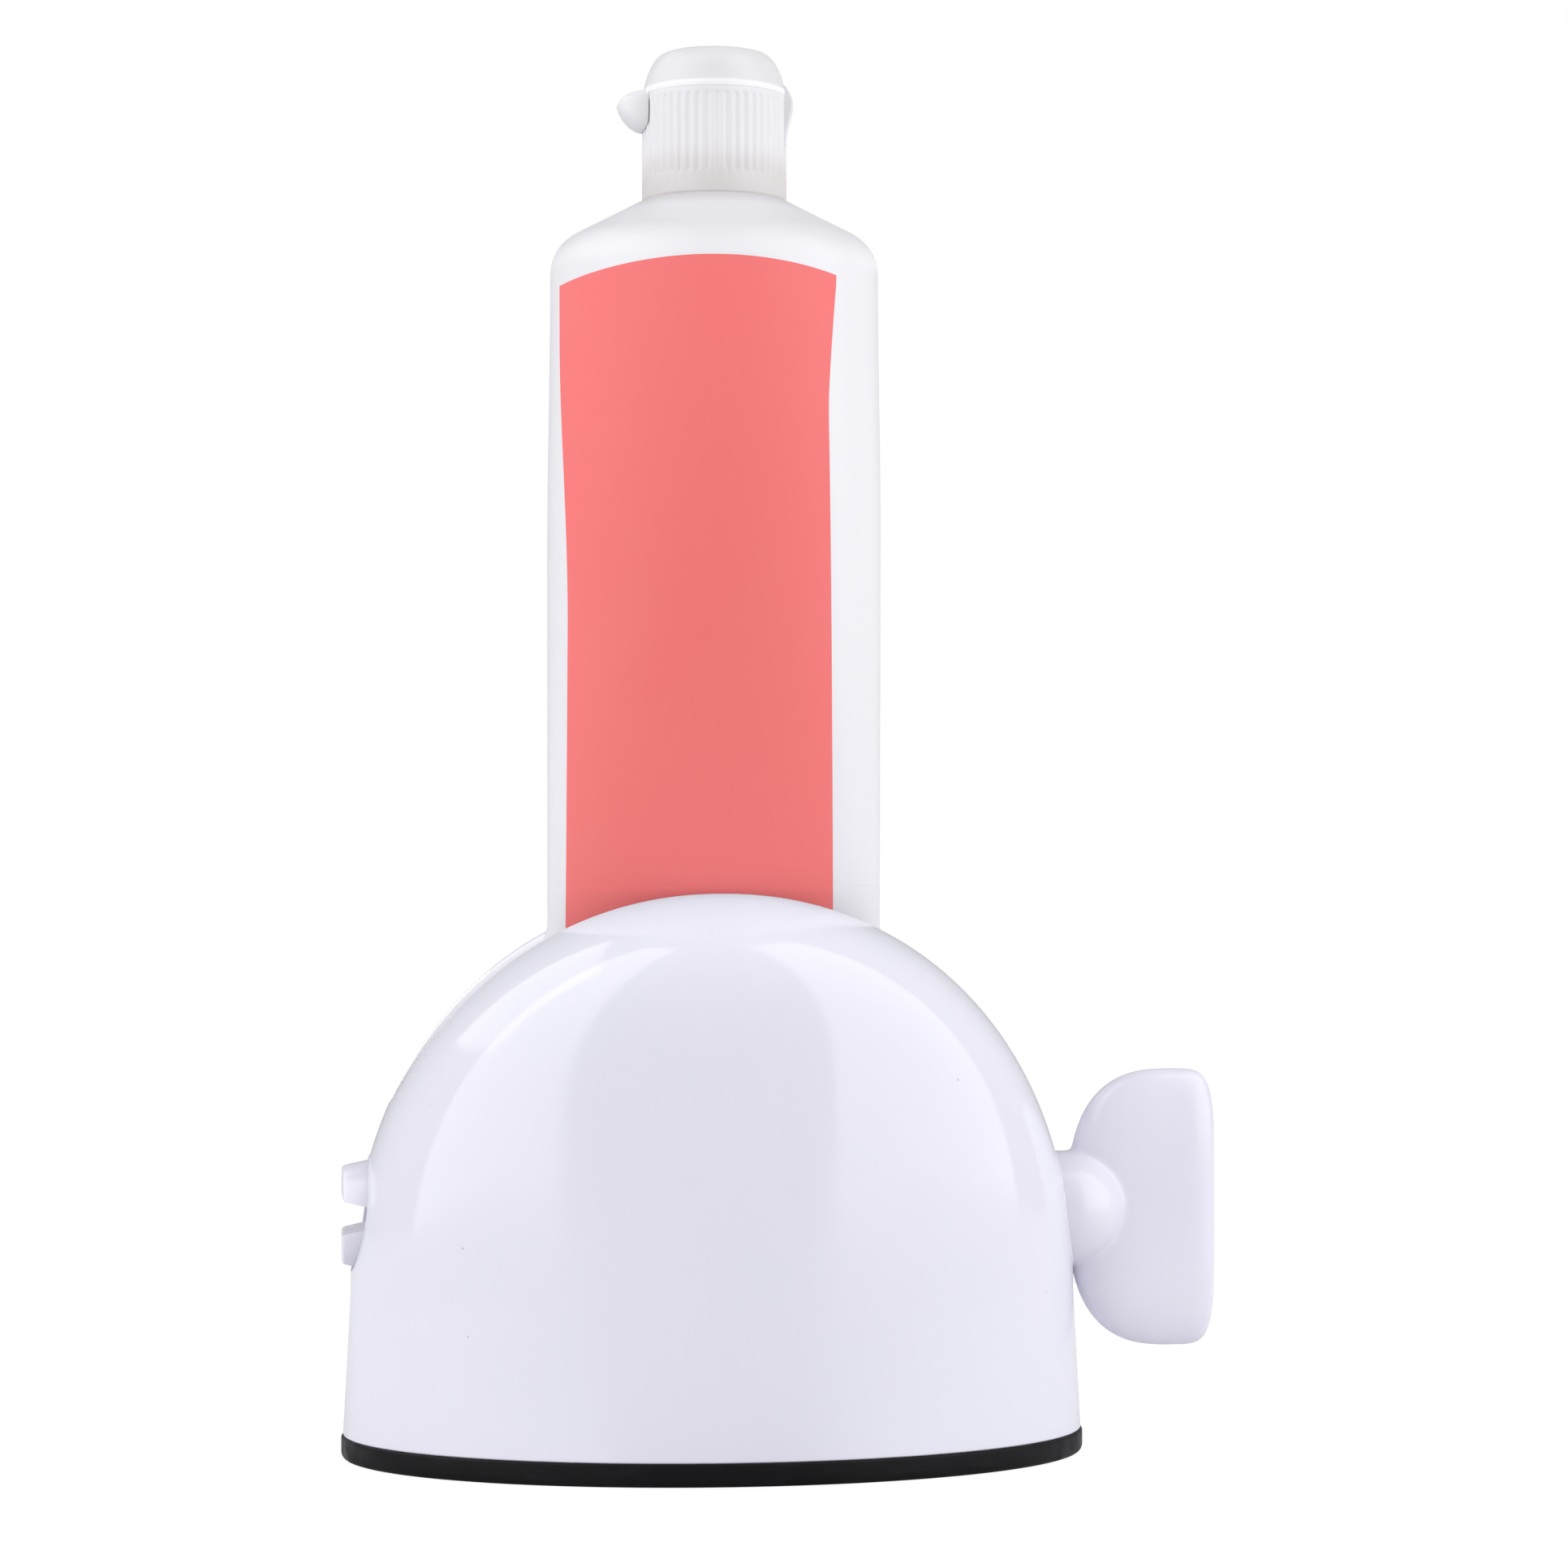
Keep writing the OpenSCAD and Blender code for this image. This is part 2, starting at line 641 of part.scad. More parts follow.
module lid_shell() {
    low = seam_h + lid_gap;
    top = seam_h + lid_h;
    rim_r = cap_r + 0.05;
    hollow_top = low + lid_hollow;
    rotate_extrude($fn = round_fn)
        polygon([[rim_r - lid_wall, low], [rim_r, low], [rim_r, low + 0.9],
            [mix(rim_r, lid_top_r, 0.25), low + 0.52 * lid_h],
            [mix(rim_r, lid_top_r, 0.56), low + 0.80 * lid_h],
            [mix(rim_r, lid_top_r, 0.75), top - 0.25], [lid_top_r, top], [0, top],
            [0, seam_h - 0.4], [mouth_r - plug_gap - 0.3, seam_h - 0.4],
            [mouth_r - plug_gap, seam_h], [mouth_r - plug_gap, hollow_top],
            [mix(rim_r, lid_top_r, 0.6) - lid_wall, hollow_top]]);
}

// The thumb tab: a beak that springs from the lid's rim on the side away from the hinge
module thumb_tab() {
    low = seam_h + lid_gap;
    reach_x = cap_r + tab_l;
    beak = [for (t = [-36:9:36]) [-cap_r * cos(t), cap_r * sin(t)]];
    nose = [for (t = [-80:20:80]) [-(reach_x - 2) - 2 * cos(t), 2.4 * sin(t)]];
    difference() {
        intersection() {
            translate([0, 0, low - tab_h])
                linear_extrude(tab_h + 1)
                    hull() {
                        polygon(concat(beak, backwards(nose)));
                    }
            translate([0, cap_d, 0])
                rotate([90, 0, 0])
                    linear_extrude(2 * cap_d)
                        polygon([[-cap_r + 1.6, low + 0.8], [-cap_r - 0.35 * tab_l, low + 0.45],
                            [-reach_x + 0.4, low - 0.55], [-reach_x, low - 1.2],
                            [-reach_x + 0.1, low - 2.1], [-reach_x + 0.8, low - 3],
                            [-cap_r - 0.3 * tab_l, low - 0.9 * tab_h], [-cap_r + 0.6, low - tab_h],
                            [-cap_r + 1.6, low - tab_h]]);
        }
        translate([0, 0, low - 2 * tab_h])
            cylinder(r = cap_r + 0.12, h = 2 * tab_h, $fn = round_fn);
        translate([0, 0, low - 1])
            cylinder(r = cap_r + 0.05 - lid_wall, h = tab_h, $fn = round_fn);
    }
}

module cap_lid() {
    color([0.92, 0.91, 0.92])
        union() {
            lid_shell();
            thumb_tab();
        }
}

housing();
base_plate();
base_screws();
base_pad();
winding_key();
tail_roll();
tail_web();
label_tail();
tube_sleeve();
tube_label();
toothpaste();
tube_head();
cap_body();
cap_hinge();
cap_lid();
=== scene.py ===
import math

import bmesh
import bpy
import numpy as np
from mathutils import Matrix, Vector


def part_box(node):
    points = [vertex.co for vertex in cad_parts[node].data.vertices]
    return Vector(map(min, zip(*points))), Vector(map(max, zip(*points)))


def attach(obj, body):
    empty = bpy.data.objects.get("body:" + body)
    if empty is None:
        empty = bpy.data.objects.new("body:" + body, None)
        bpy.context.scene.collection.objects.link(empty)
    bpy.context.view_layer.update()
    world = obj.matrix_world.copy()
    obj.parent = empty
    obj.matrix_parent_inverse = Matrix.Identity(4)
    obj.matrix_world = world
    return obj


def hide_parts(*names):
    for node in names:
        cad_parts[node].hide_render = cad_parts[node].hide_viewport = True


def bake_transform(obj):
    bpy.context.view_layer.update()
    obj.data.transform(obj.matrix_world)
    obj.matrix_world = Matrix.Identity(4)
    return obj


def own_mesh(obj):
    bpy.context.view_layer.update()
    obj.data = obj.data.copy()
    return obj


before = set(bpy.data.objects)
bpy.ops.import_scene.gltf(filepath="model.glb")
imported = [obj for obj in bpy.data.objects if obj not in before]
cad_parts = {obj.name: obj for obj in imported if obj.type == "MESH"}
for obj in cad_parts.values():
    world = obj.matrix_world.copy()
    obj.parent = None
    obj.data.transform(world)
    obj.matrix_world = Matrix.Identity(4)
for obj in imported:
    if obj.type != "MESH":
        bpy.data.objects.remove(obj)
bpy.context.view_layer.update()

MM = 0.001


def span(node):
    """Lowest and highest corner of a CAD node, in millimetres."""
    low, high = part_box(node)
    return np.array(low) / MM, np.array(high) / MM


# Sizes, taken from the frame where it holds them
shell_low, shell_high = span("housing")
STAND_L = shell_high[0] - shell_low[0]
STAND_D = shell_high[1] - shell_low[1]
FOOT_Z = shell_low[2]
CROWN_H = 69.5
SPRING_H = 19.8
WALL = 2.2
END_LEAN = 0.9
FACE_LEAN = 1.9
ARCH_POWER = 2.1
SHOULDER_POWER = 13.0
SLOT_L = 79.0
SLOT_W = 18.8
SLOT_POWER = 2.8
SHOULDER_DEPTH = 12.0
LIP_R = 0.7
FOOT_R = 0.35
BEAD_SINK = 0.6
BEAD_GAP = 0.02

key_low, key_high = span("winding_key")
KEY_H = (key_low[2] + key_high[2]) / 2
TIP_X = key_low[0]
WING_END = key_high[0]
WING_H = key_high[2] - key_low[2]
WING_W = 18.6
WING_T = 6.0
WING_PEAK = 5.8
WING_LEFT_POWER = 2.65
WING_RIGHT_POWER = 5
BOSS_R = 7.1
PRONG_R = 6.8
KEY_FIT = 0.08
KEY_GAP = 1.5
TIP_GAP = 4.0
GAP_TAPER_L = 6.0
TIP_R = 6.0
TIP_L = 3.6
BALL_X = WING_END - WING_W
BOSS_END = 39.0

sleeve_low, sleeve_high = span("tube_sleeve")
PINCH_H = sleeve_low[2]
SLEEVE_H = sleeve_high[2]
TUBE_R = (sleeve_high[0] - sleeve_low[0]) / 2
FILM_T = 0.45

TAIL_HALF = span("tail_roll")[1][0]
TAIL_T = 0.9
TURN_GAP = 0.15
CORE_GAP = 0.3
TURNS = 1.5
PART_GAP = 0.3

cap_low, cap_high = span("cap_body")
CAP_R = cap_high[0]
CAP_Z = cap_low[2]
CAP_H = 12.6
SEAM_Z = CAP_Z + CAP_H
LID_TOP = span("cap_lid")[1][2]
BRIM_T = 0.6

# Camera, as fitted to the foot's curve, the slot's rim and the outline
PHOTO = 1932
FOCAL_PX = 5090
HORIZON_PX = 1068.3
CAMERA_D = 510.0
CAMERA_H = 72.2
CAMERA_YAW = math.radians(7.0)
CAMERA_SIDE = 8.612
SENSOR = 36.0


def make_camera():
    data = bpy.data.cameras.new("camera")
    data.sensor_width = SENSOR
    data.lens = FOCAL_PX / PHOTO * SENSOR
    data.shift_y = (HORIZON_PX - PHOTO / 2) / PHOTO
    data.clip_start, data.clip_end = 0.01, 50
    cam = bpy.data.objects.new("camera", data)
    bpy.context.scene.collection.objects.link(cam)
    c, s = math.cos(CAMERA_YAW), math.sin(CAMERA_YAW)
    place = Vector((CAMERA_SIDE * c - CAMERA_D * s, -CAMERA_SIDE * s - CAMERA_D * c, CAMERA_H))
    cam.location = place * MM
    cam.rotation_euler = (math.pi / 2, 0, -CAMERA_YAW)
    bpy.context.scene.camera = cam


make_camera()


# Materials
def add_node(tree, kind, **settings):
    made = tree.nodes.new(kind)
    for key, value in settings.items():
        setattr(made, key, value)
    return made


def add_math(tree, operation, a, b):
    """One operation on two values, each a number or another node's output."""
    made = add_node(tree, "ShaderNodeMath", operation=operation)
    for socket, value in zip(made.inputs, (a, b)):
        if isinstance(value, (int, float)):
            socket.default_value = value
        else:
            tree.links.new(value, socket)
    return made.outputs["Value"]


def add_ramp(tree, value, low, high, to_low=0.0, to_high=1.0, kind="SMOOTHSTEP"):
    """Runs from to_low to to_high as the value goes from low to high."""
    made = add_node(tree, "ShaderNodeMapRange", interpolation_type=kind)
    for key, number in zip(("From Min", "From Max", "To Min", "To Max"),
                           (low, high, to_low, to_high)):
        made.inputs[key].default_value = number
    tree.links.new(value, made.inputs["Value"])
    return made.outputs["Result"]


class Finish:
    """A Principled material with helpers for the procedural detail that is laid into it."""

    def __init__(self, name, colour, roughness, **inputs):
        self.mat = bpy.data.materials.new(name)
        self.mat.use_nodes = True
        self.tree = self.mat.node_tree
        self.shader = self.tree.nodes["Principled BSDF"]
        self.colour = None
        self.normal = None
        self.base = (*colour, 1)
        self.shader.inputs["Base Color"].default_value = self.base
        self.shader.inputs["Roughness"].default_value = roughness
        for key, value in inputs.items():
            self.shader.inputs[key.replace("_", " ")].default_value = value
        self.place = self.tree.nodes.new("ShaderNodeTexCoord").outputs["Object"]

    def node(self, kind, **settings):
        return add_node(self.tree, kind, **settings)

    def stretched(self, stretch):
        mapping = self.node("ShaderNodeMapping")
        mapping.inputs["Scale"].default_value = stretch
        self.tree.links.new(self.place, mapping.inputs["Vector"])
        return mapping.outputs["Vector"]

    def height(self, low, high, to_low=0.0, to_high=1.0):
        """Runs from one value to another between two heights in millimetres."""
        split = self.node("ShaderNodeSeparateXYZ")
        self.tree.links.new(self.place, split.inputs["Vector"])
        return self.ramp(split.outputs["Z"], low * MM, high * MM, to_low, to_high)

    def noise(self, size, detail=3, stretch=(1, 1, 1)):
        """A noise whose features are about size millimetres."""
        made = self.node("ShaderNodeTexNoise")
        made.inputs["Scale"].default_value = 1 / (size * MM)
        made.inputs["Detail"].default_value = detail
        self.tree.links.new(self.stretched(stretch), made.inputs["Vector"])
        return made.outputs["Fac"]

    def ramp(self, value, low, high, to_low=0.0, to_high=1.0):
        return add_ramp(self.tree, value, low, high, to_low, to_high)

    def math(self, operation, a, b):
        return add_math(self.tree, operation, a, b)

    def tint(self, amount, colour):
        """Mixes a colour in by an amount that varies over the surface."""
        mixer = self.node("ShaderNodeMix", data_type="RGBA")
        self.tree.links.new(amount, mixer.inputs["Factor"])
        if self.colour is None:
            mixer.inputs[6].default_value = self.base
        else:
            self.tree.links.new(self.colour, mixer.inputs[6])
        mixer.inputs[7].default_value = (*colour, 1)
        self.colour = mixer.outputs[2]
        self.tree.links.new(self.colour, self.shader.inputs["Base Color"])
        return self

    def rough(self, value):
        self.tree.links.new(value, self.shader.inputs["Roughness"])
        return self

    def bump(self, height, depth, strength=1.0):
        """Adds relief that is depth millimetres high."""
        made = self.node("ShaderNodeBump")
        made.inputs["Strength"].default_value = strength
        made.inputs["Distance"].default_value = depth * MM
        self.tree.links.new(height, made.inputs["Height"])
        if self.normal is not None:
            self.tree.links.new(self.normal, made.inputs["Normal"])
        self.normal = made.outputs["Normal"]
        self.tree.links.new(self.normal, self.shader.inputs["Normal"])
        return self

    def specks(self, cell, radius, share):
        """Small dots of dust: one in each cell, of which only a share is kept."""
        cells = self.node("ShaderNodeTexVoronoi")
        cells.inputs["Scale"].default_value = 1 / (cell * MM)
        self.tree.links.new(self.place, cells.inputs["Vector"])
        near = self.ramp(cells.outputs["Distance"], radius / cell * 0.6, radius / cell, 1, 0)
        split = self.node("ShaderNodeSeparateColor")
        self.tree.links.new(cells.outputs["Color"], split.inputs["Color"])
        kept = self.math("LESS_THAN", split.outputs["Red"], share)
        return self.math("MULTIPLY", near, kept)


def linear(r, g, b):
    """An sRGB colour in 0 to 255 as the linear values that a shader takes."""
    return tuple(c / 255 / 12.92 if c <= 10 else ((c / 255 + 0.055) / 1.055) ** 2.4
                 for c in (r, g, b))


def shell_finish():
    f = Finish("shell_white", linear(228, 227, 238), 0.16, Specular_IOR_Level=0.6)
    f.tint(f.ramp(f.noise(30), 0.35, 0.7, 0, 0.5), linear(225, 225, 236))
    f.tint(f.math("MULTIPLY", f.specks(6.5, 0.16, 0.7), 0.5), linear(120, 118, 130))
    f.rough(f.ramp(f.noise(14, 4), 0.3, 0.75, 0.09, 0.15))
    f.bump(f.noise(9, 2), 0.012).bump(f.noise(0.8, 2), 0.0012)
    return f.mat


def key_finish():
    f = Finish("key_white", linear(229, 227, 239), 0.22, Specular_IOR_Level=0.7)
    f.tint(f.ramp(f.noise(18), 0.4, 0.7, 0, 0.5), linear(224, 222, 236))
    f.rough(f.ramp(f.noise(8, 4), 0.3, 0.75, 0.17, 0.27))
    f.bump(f.noise(5, 3), 0.012).bump(f.noise(0.6, 2), 0.0015)
    return f.mat


def glowing_wall_finish():
    """The cut wall of the slot, with a faint glow of its own: painted light that keeps it bright
    inside the slot.
    """
    f = Finish("slot_wall_glowing", linear(240, 239, 248), 0.4)
    f.tint(f.ramp(f.noise(6), 0.4, 0.7, 0, 0.5), linear(234, 233, 243))
    f.bump(f.noise(0.8, 2), 0.002)
    # Painted light: the wall glows at strength 0.3 though it is no lamp
    f.shader.inputs["Emission Color"].default_value = (1, 1, 1, 1)
    f.shader.inputs["Emission Strength"].default_value = 0.3
    return f.mat


def rubber_finish():
    f = Finish("rubber_black", linear(17, 16, 18), 0.36, Specular_IOR_Level=0.12)
    f.tint(f.ramp(f.noise(4, 5, (1, 1, 3)), 0.5, 0.75, 0, 0.6), linear(27, 27, 30))
    f.tint(f.specks(11, 0.14, 0.2), linear(105, 105, 108))
    f.rough(f.ramp(f.noise(2.5, 5), 0.3, 0.7, 0.28, 0.5))
    f.bump(f.noise(0.5, 4), 0.012).bump(f.noise(3, 3, (1, 1, 0.3)), 0.03)
    return f.mat


def film_finish():
    f = Finish("tube_white", linear(235, 234, 238), 0.3)
    f.tint(f.ramp(f.noise(26, 1, (1, 1, 0.4)), 0.2, 0.8, 0, 0.6), linear(232, 231, 236))
    f.rough(f.ramp(f.noise(20, 1), 0.2, 0.8, 0.28, 0.34))
    f.bump(f.noise(16, 1, (1, 1, 0.35)), 0.025)
    return f.mat


def label_finish():
    f = Finish("label_red", linear(243, 121, 120), 0.5, Specular_IOR_Level=0.2)
    f.tint(f.ramp(f.noise(24, 3, (1, 1, 0.5)), 0.45, 0.75, 0, 0.5), linear(242, 126, 123))
    f.tint(f.ramp(f.noise(13, 4, (1, 1, 0.25)), 0.55, 0.8, 0, 0.45), linear(244, 115, 115))
    f.rough(f.ramp(f.noise(5, 4), 0.3, 0.7, 0.44, 0.58))
    f.bump(f.noise(16, 2, (1, 1, 0.35)), 0.05).bump(f.noise(0.4, 3), 0.003)
    return f.mat


def head_finish():
    f = Finish("head_white", linear(235, 234, 238), 0.34)
    f.tint(f.ramp(f.noise(12), 0.4, 0.7, 0, 0.5), linear(233, 232, 236))
    # Painted shade: the shoulder is darker above its rounded foot
    f.tint(f.height(SLEEVE_H, SLEEVE_H + 3.5, 0, 0.9), linear(219, 218, 222))
    # Painted shadow of the cap: a dark ring on the shoulder and neck just under it
    f.tint(f.height(CAP_Z - 2.4, CAP_Z - 0.4, 0, 0.9), linear(198, 196, 199))
    f.rough(f.ramp(f.noise(4, 4), 0.3, 0.7, 0.34, 0.48))
    f.bump(f.noise(0.9, 3), 0.004)
    return f.mat


# With the flag set, height bands of painted shade and painted highlight are laid into the colour;
# the strap goes without them
def cap_finish(name, painted_shading=True):
    f = Finish(name, linear(229, 228, 231), 0.38)
    f.tint(f.ramp(f.noise(9), 0.4, 0.7, 0, 0.5), linear(225, 224, 227))
    if painted_shading:
        # Painted shade: the skirt darkens and warms towards its foot
        f.tint(f.height(CAP_Z + 1.9, CAP_Z + 6.2, 0.9, 0), linear(213, 207, 206))
        # Painted highlight: a light band along the seam and the lid's brim
        f.tint(f.height(SEAM_Z - 0.1, SEAM_Z + 0.05, 0, 1), linear(240, 239, 242))
        # Painted shade: the lid is darker above its brim
        f.tint(f.height(SEAM_Z + BRIM_T, SEAM_Z + BRIM_T + 0.4, 0, 0.95), linear(218, 217, 219))
    f.rough(f.ramp(f.noise(3, 4), 0.3, 0.7, 0.32, 0.46))
    f.bump(f.noise(0.6, 3), 0.004)
    return f.mat


def paste_finish():
    f = Finish("paste_white", linear(243, 247, 249), 0.25)
    f.tint(f.ramp(f.noise(3), 0.4, 0.7, 0, 0.4), linear(232, 240, 244))
    f.bump(f.noise(1.5, 3), 0.08)
    return f.mat


def plate_finish():
    f = Finish("plate_grey", linear(58, 58, 61), 0.5)
    f.tint(f.ramp(f.noise(6), 0.4, 0.7, 0, 0.5), linear(48, 48, 52))
    f.rough(f.ramp(f.noise(2, 4), 0.3, 0.7, 0.42, 0.6))
    f.bump(f.noise(0.4, 2), 0.01)
    return f.mat


def screw_finish():
    f = Finish("screw_steel", linear(190, 190, 195), 0.3, Metallic=1.0)
    f.tint(f.ramp(f.noise(0.8, 4), 0.45, 0.8, 0, 0.6), linear(150, 150, 158))
    f.rough(f.ramp(f.noise(0.5, 4), 0.3, 0.7, 0.22, 0.45))
    f.bump(f.noise(0.2, 3), 0.006)
    return f.mat


SHELL = shell_finish()
GLOWING_SLOT_WALL = glowing_wall_finish()
KEY = key_finish()
RUBBER = rubber_finish()
FILM = film_finish()
LABEL = label_finish()
HEAD = head_finish()
CAP = cap_finish("cap_white")
STRAP = cap_finish("cap_hinge_white", painted_shading=False)
PASTE = paste_finish()
PLATE = plate_finish()
STEEL = screw_finish()


# Mesh building
def object_from(name, points, faces, material, smooth_angle=35):
    """A mesh object from points in millimetres, with outward normals and smooth shading."""
    mesh = bpy.data.meshes.new(name)
    mesh.from_pydata([tuple(p) for p in np.asarray(points, float) * MM], [], faces)
    mesh.validate()
    made = bpy.data.objects.new(name, mesh)
    bpy.context.scene.collection.objects.link(made)
    mesh.materials.append(material)
    bm = bmesh.new()
    bm.from_mesh(mesh)
    bmesh.ops.recalc_face_normals(bm, faces=bm.faces)
    bm.to_mesh(mesh)
    bm.free()
    shade(made, smooth_angle)
    return made


def shade(obj, angle=35):
    """Smooth shading, with edges sharper than the angle in degrees kept sharp."""
    mesh = obj.data
    mesh.polygons.foreach_set("use_smooth", [True] * len(mesh.polygons))
    mesh.set_sharp_from_angle(angle=math.radians(angle))
    mesh.update()


def ring_faces(count, rings, closed_loop=False):
    """Quads between stacked rings; with closed_loop the last ring joins the first."""
    faces = []
    for k in range(rings if closed_loop else rings - 1):
        a, b = k * count, ((k + 1) % rings) * count
        faces += [(a + i, a + (i + 1) % count, b + (i + 1) % count, b + i) for i in range(count)]
    return faces


def loft(name, rings, material, caps=True, closed_loop=False, smooth_angle=35):
    """A surface through rings that all have the same number of points."""
    count = len(rings[0])
    faces = ring_faces(count, len(rings), closed_loop)
    if caps and not closed_loop:
        last = (len(rings) - 1) * count
        faces.append(tuple(range(count - 1, -1, -1)))
        faces.append(tuple(last + i for i in range(count)))
    return object_from(name, np.concatenate(rings), faces, material, smooth_angle)


def revolve(name, profile, material, count=160, smooth_angle=35):
    """A closed profile of (radius, height) turned round the Z axis."""
    rings = [circle_at(z, r, angles(count)) for r, z in profile]
    made = loft(name, rings, material, closed_loop=True, smooth_angle=smooth_angle)
    merge_doubles(made)
    return made


def merge_doubles(obj, distance=0.002):
    bm = bmesh.new()
    bm.from_mesh(obj.data)
    bmesh.ops.remove_doubles(bm, verts=bm.verts, dist=distance * MM)
    bmesh.ops.dissolve_degenerate(bm, edges=bm.edges, dist=distance * MM)
    bmesh.ops.recalc_face_normals(bm, faces=bm.faces)
    bm.to_mesh(obj.data)
    bm.free()


def joined(name, parts):
    """One object out of several, which are used up."""
    with bpy.context.temp_override(active_object=parts[0], selected_editable_objects=parts):
        bpy.ops.object.join()
    parts[0].name = parts[0].data.name = name
    return parts[0]


def applied(obj):
    """Bakes the object's modifiers into its mesh."""
    graph = bpy.context.evaluated_depsgraph_get()
    mesh = bpy.data.meshes.new_from_object(obj.evaluated_get(graph))
    obj.modifiers.clear()
    old = obj.data
    obj.data = mesh
    bpy.data.meshes.remove(old)
    return obj


def cut_with(obj, tools):
    """Cuts the tools out of the object and uses them up."""
    for tool in tools:
        step = obj.modifiers.new("cut", "BOOLEAN")
        step.operation = "DIFFERENCE"
        step.solver = "EXACT"
        step.object = tool
    applied(obj)
    for tool in tools:
        bpy.data.objects.remove(tool)
    return obj


def hole_tool(x_low, x_high, radius, count=128):
    """A cylinder on the key's axis."""
    return loft("tool", [circle_across(x, radius, angles(count)) for x in (x_low, x_high)], SHELL)


def angles(count):
    """Equal steps once round a circle."""
    return np.arange(count) * 2 * math.pi / count


def circle_at(z, radius, t):
    """A level ring about the Z axis, of one radius or of one for each angle."""
    return np.column_stack([radius * np.cos(t), radius * np.sin(t), np.full(len(t), z)])


def circle_across(x, radius, t):
    """A ring about the key's axis."""
    return np.column_stack([np.full(len(t), x), radius * np.cos(t), KEY_H + radius * np.sin(t)])


def clamp(t):
    return np.clip(t, 0, 1)


def ease(t):
    return clamp(t) ** 2 * (3 - 2 * clamp(t))


def mix(a, b, t):
    return a + (b - a) * t


def signed_power(a, n):
    return np.sign(a) * np.abs(a) ** n


def oval(a, b, power, t):
    """A superellipse with half axes a and b; power 2 makes it an ellipse."""
    return np.stack([a * signed_power(np.cos(t), 2 / power),
                     b * signed_power(np.sin(t), 2 / power)], -1)


def round_corner(start, corner, end, steps):
    """Points of a curve from start to end that is tangent to both sides of a corner."""
    return [(1 - u) ** 2 * start + 2 * u * (1 - u) * corner + u ** 2 * end
            for u in np.linspace(0, 1, steps + 1)]


def round_profile(points, radii, steps=4):
    """A profile of (radius, height) points with each corner rounded by its own amount."""
    points = [np.array(p, float) for p in points]
    made = []
    for i, (p, r) in enumerate(zip(points, radii)):
        if r == 0:
            made.append(p)
            continue
        before, after = points[i - 1] - p, points[(i + 1) % len(points)] - p
        a = p + before / np.linalg.norm(before) * min(r, np.linalg.norm(before) / 2)
        b = p + after / np.linalg.norm(after) * min(r, np.linalg.norm(after) / 2)
        made += round_corner(a, p, b, steps)
    return made


# The stand's shell
def half_length(z, inset):
    """Half the shell's length at a height, where its ends lean in until the arch springs."""
    return STAND_L / 2 - inset - END_LEAN * clamp((z - FOOT_Z) / (SPRING_H - FOOT_Z))


def half_depth(z, inset):
    """Half the shell's depth at a height, were its faces flat."""
    return STAND_D / 2 - inset - FACE_LEAN * (z - FOOT_Z) / (CROWN_H - FOOT_Z)


def dome(p, inset=0.0):
    """Below zero inside the shell's skin, zero on it and above zero outside."""
    x, y, z = p[..., 0], p[..., 1], p[..., 2]
    u = np.abs(x) / half_length(z, inset)
    v = y / half_depth(z, inset)
    w = np.maximum(0, z - SPRING_H) / (CROWN_H - inset - SPRING_H)
    r = np.maximum((u ** ARCH_POWER + w ** ARCH_POWER) ** (1 / ARCH_POWER), 1e-9)
    return v * v + u * u + r ** SHOULDER_POWER * (1 - (u / r) ** 2) - 1


def dome_normal(p, inset=0.0):
    step = 1e-4
    grad = np.stack([dome(p + step * axis, inset) - dome(p - step * axis, inset)
                     for axis in np.eye(3)], -1)
    return grad / np.linalg.norm(grad, axis=-1, keepdims=True)


def reach(p, way, inset=0.0, far=90.0):
    """Points of the skin met from p along way, found by halving."""
    near, far = np.zeros(len(p)), np.full(len(p), far)
    for _ in range(40):
        middle = (near + far) / 2
        outside = dome(p + way * middle[:, None], inset) > 0
        far = np.where(outside, middle, far)
        near = np.where(outside, near, middle)
    return p + way * ((near + far) / 2)[:, None]


def skin(foot, slot, way, inset, wall_rows, turn_angles):
    """Rings of the skin from just over the foot to just short of the slot's rim."""
    at = lambda z: np.column_stack([slot, z])
    up = np.array([0, 0, 1.0])
    rim = reach(at(np.full(len(slot), SPRING_H)), np.tile(up, (len(slot), 1)), inset)
    turn = rim[:, 2] - SHOULDER_DEPTH
    flat = np.column_stack([way, np.zeros(len(way))])
    rings = [reach(at(mix(foot, turn, k / wall_rows)), flat, inset) for k in range(wall_rows)]
    for a in np.radians(turn_angles):
        rings.append(reach(at(turn), flat * math.cos(a) + up * math.sin(a), inset))
    return rings, rim


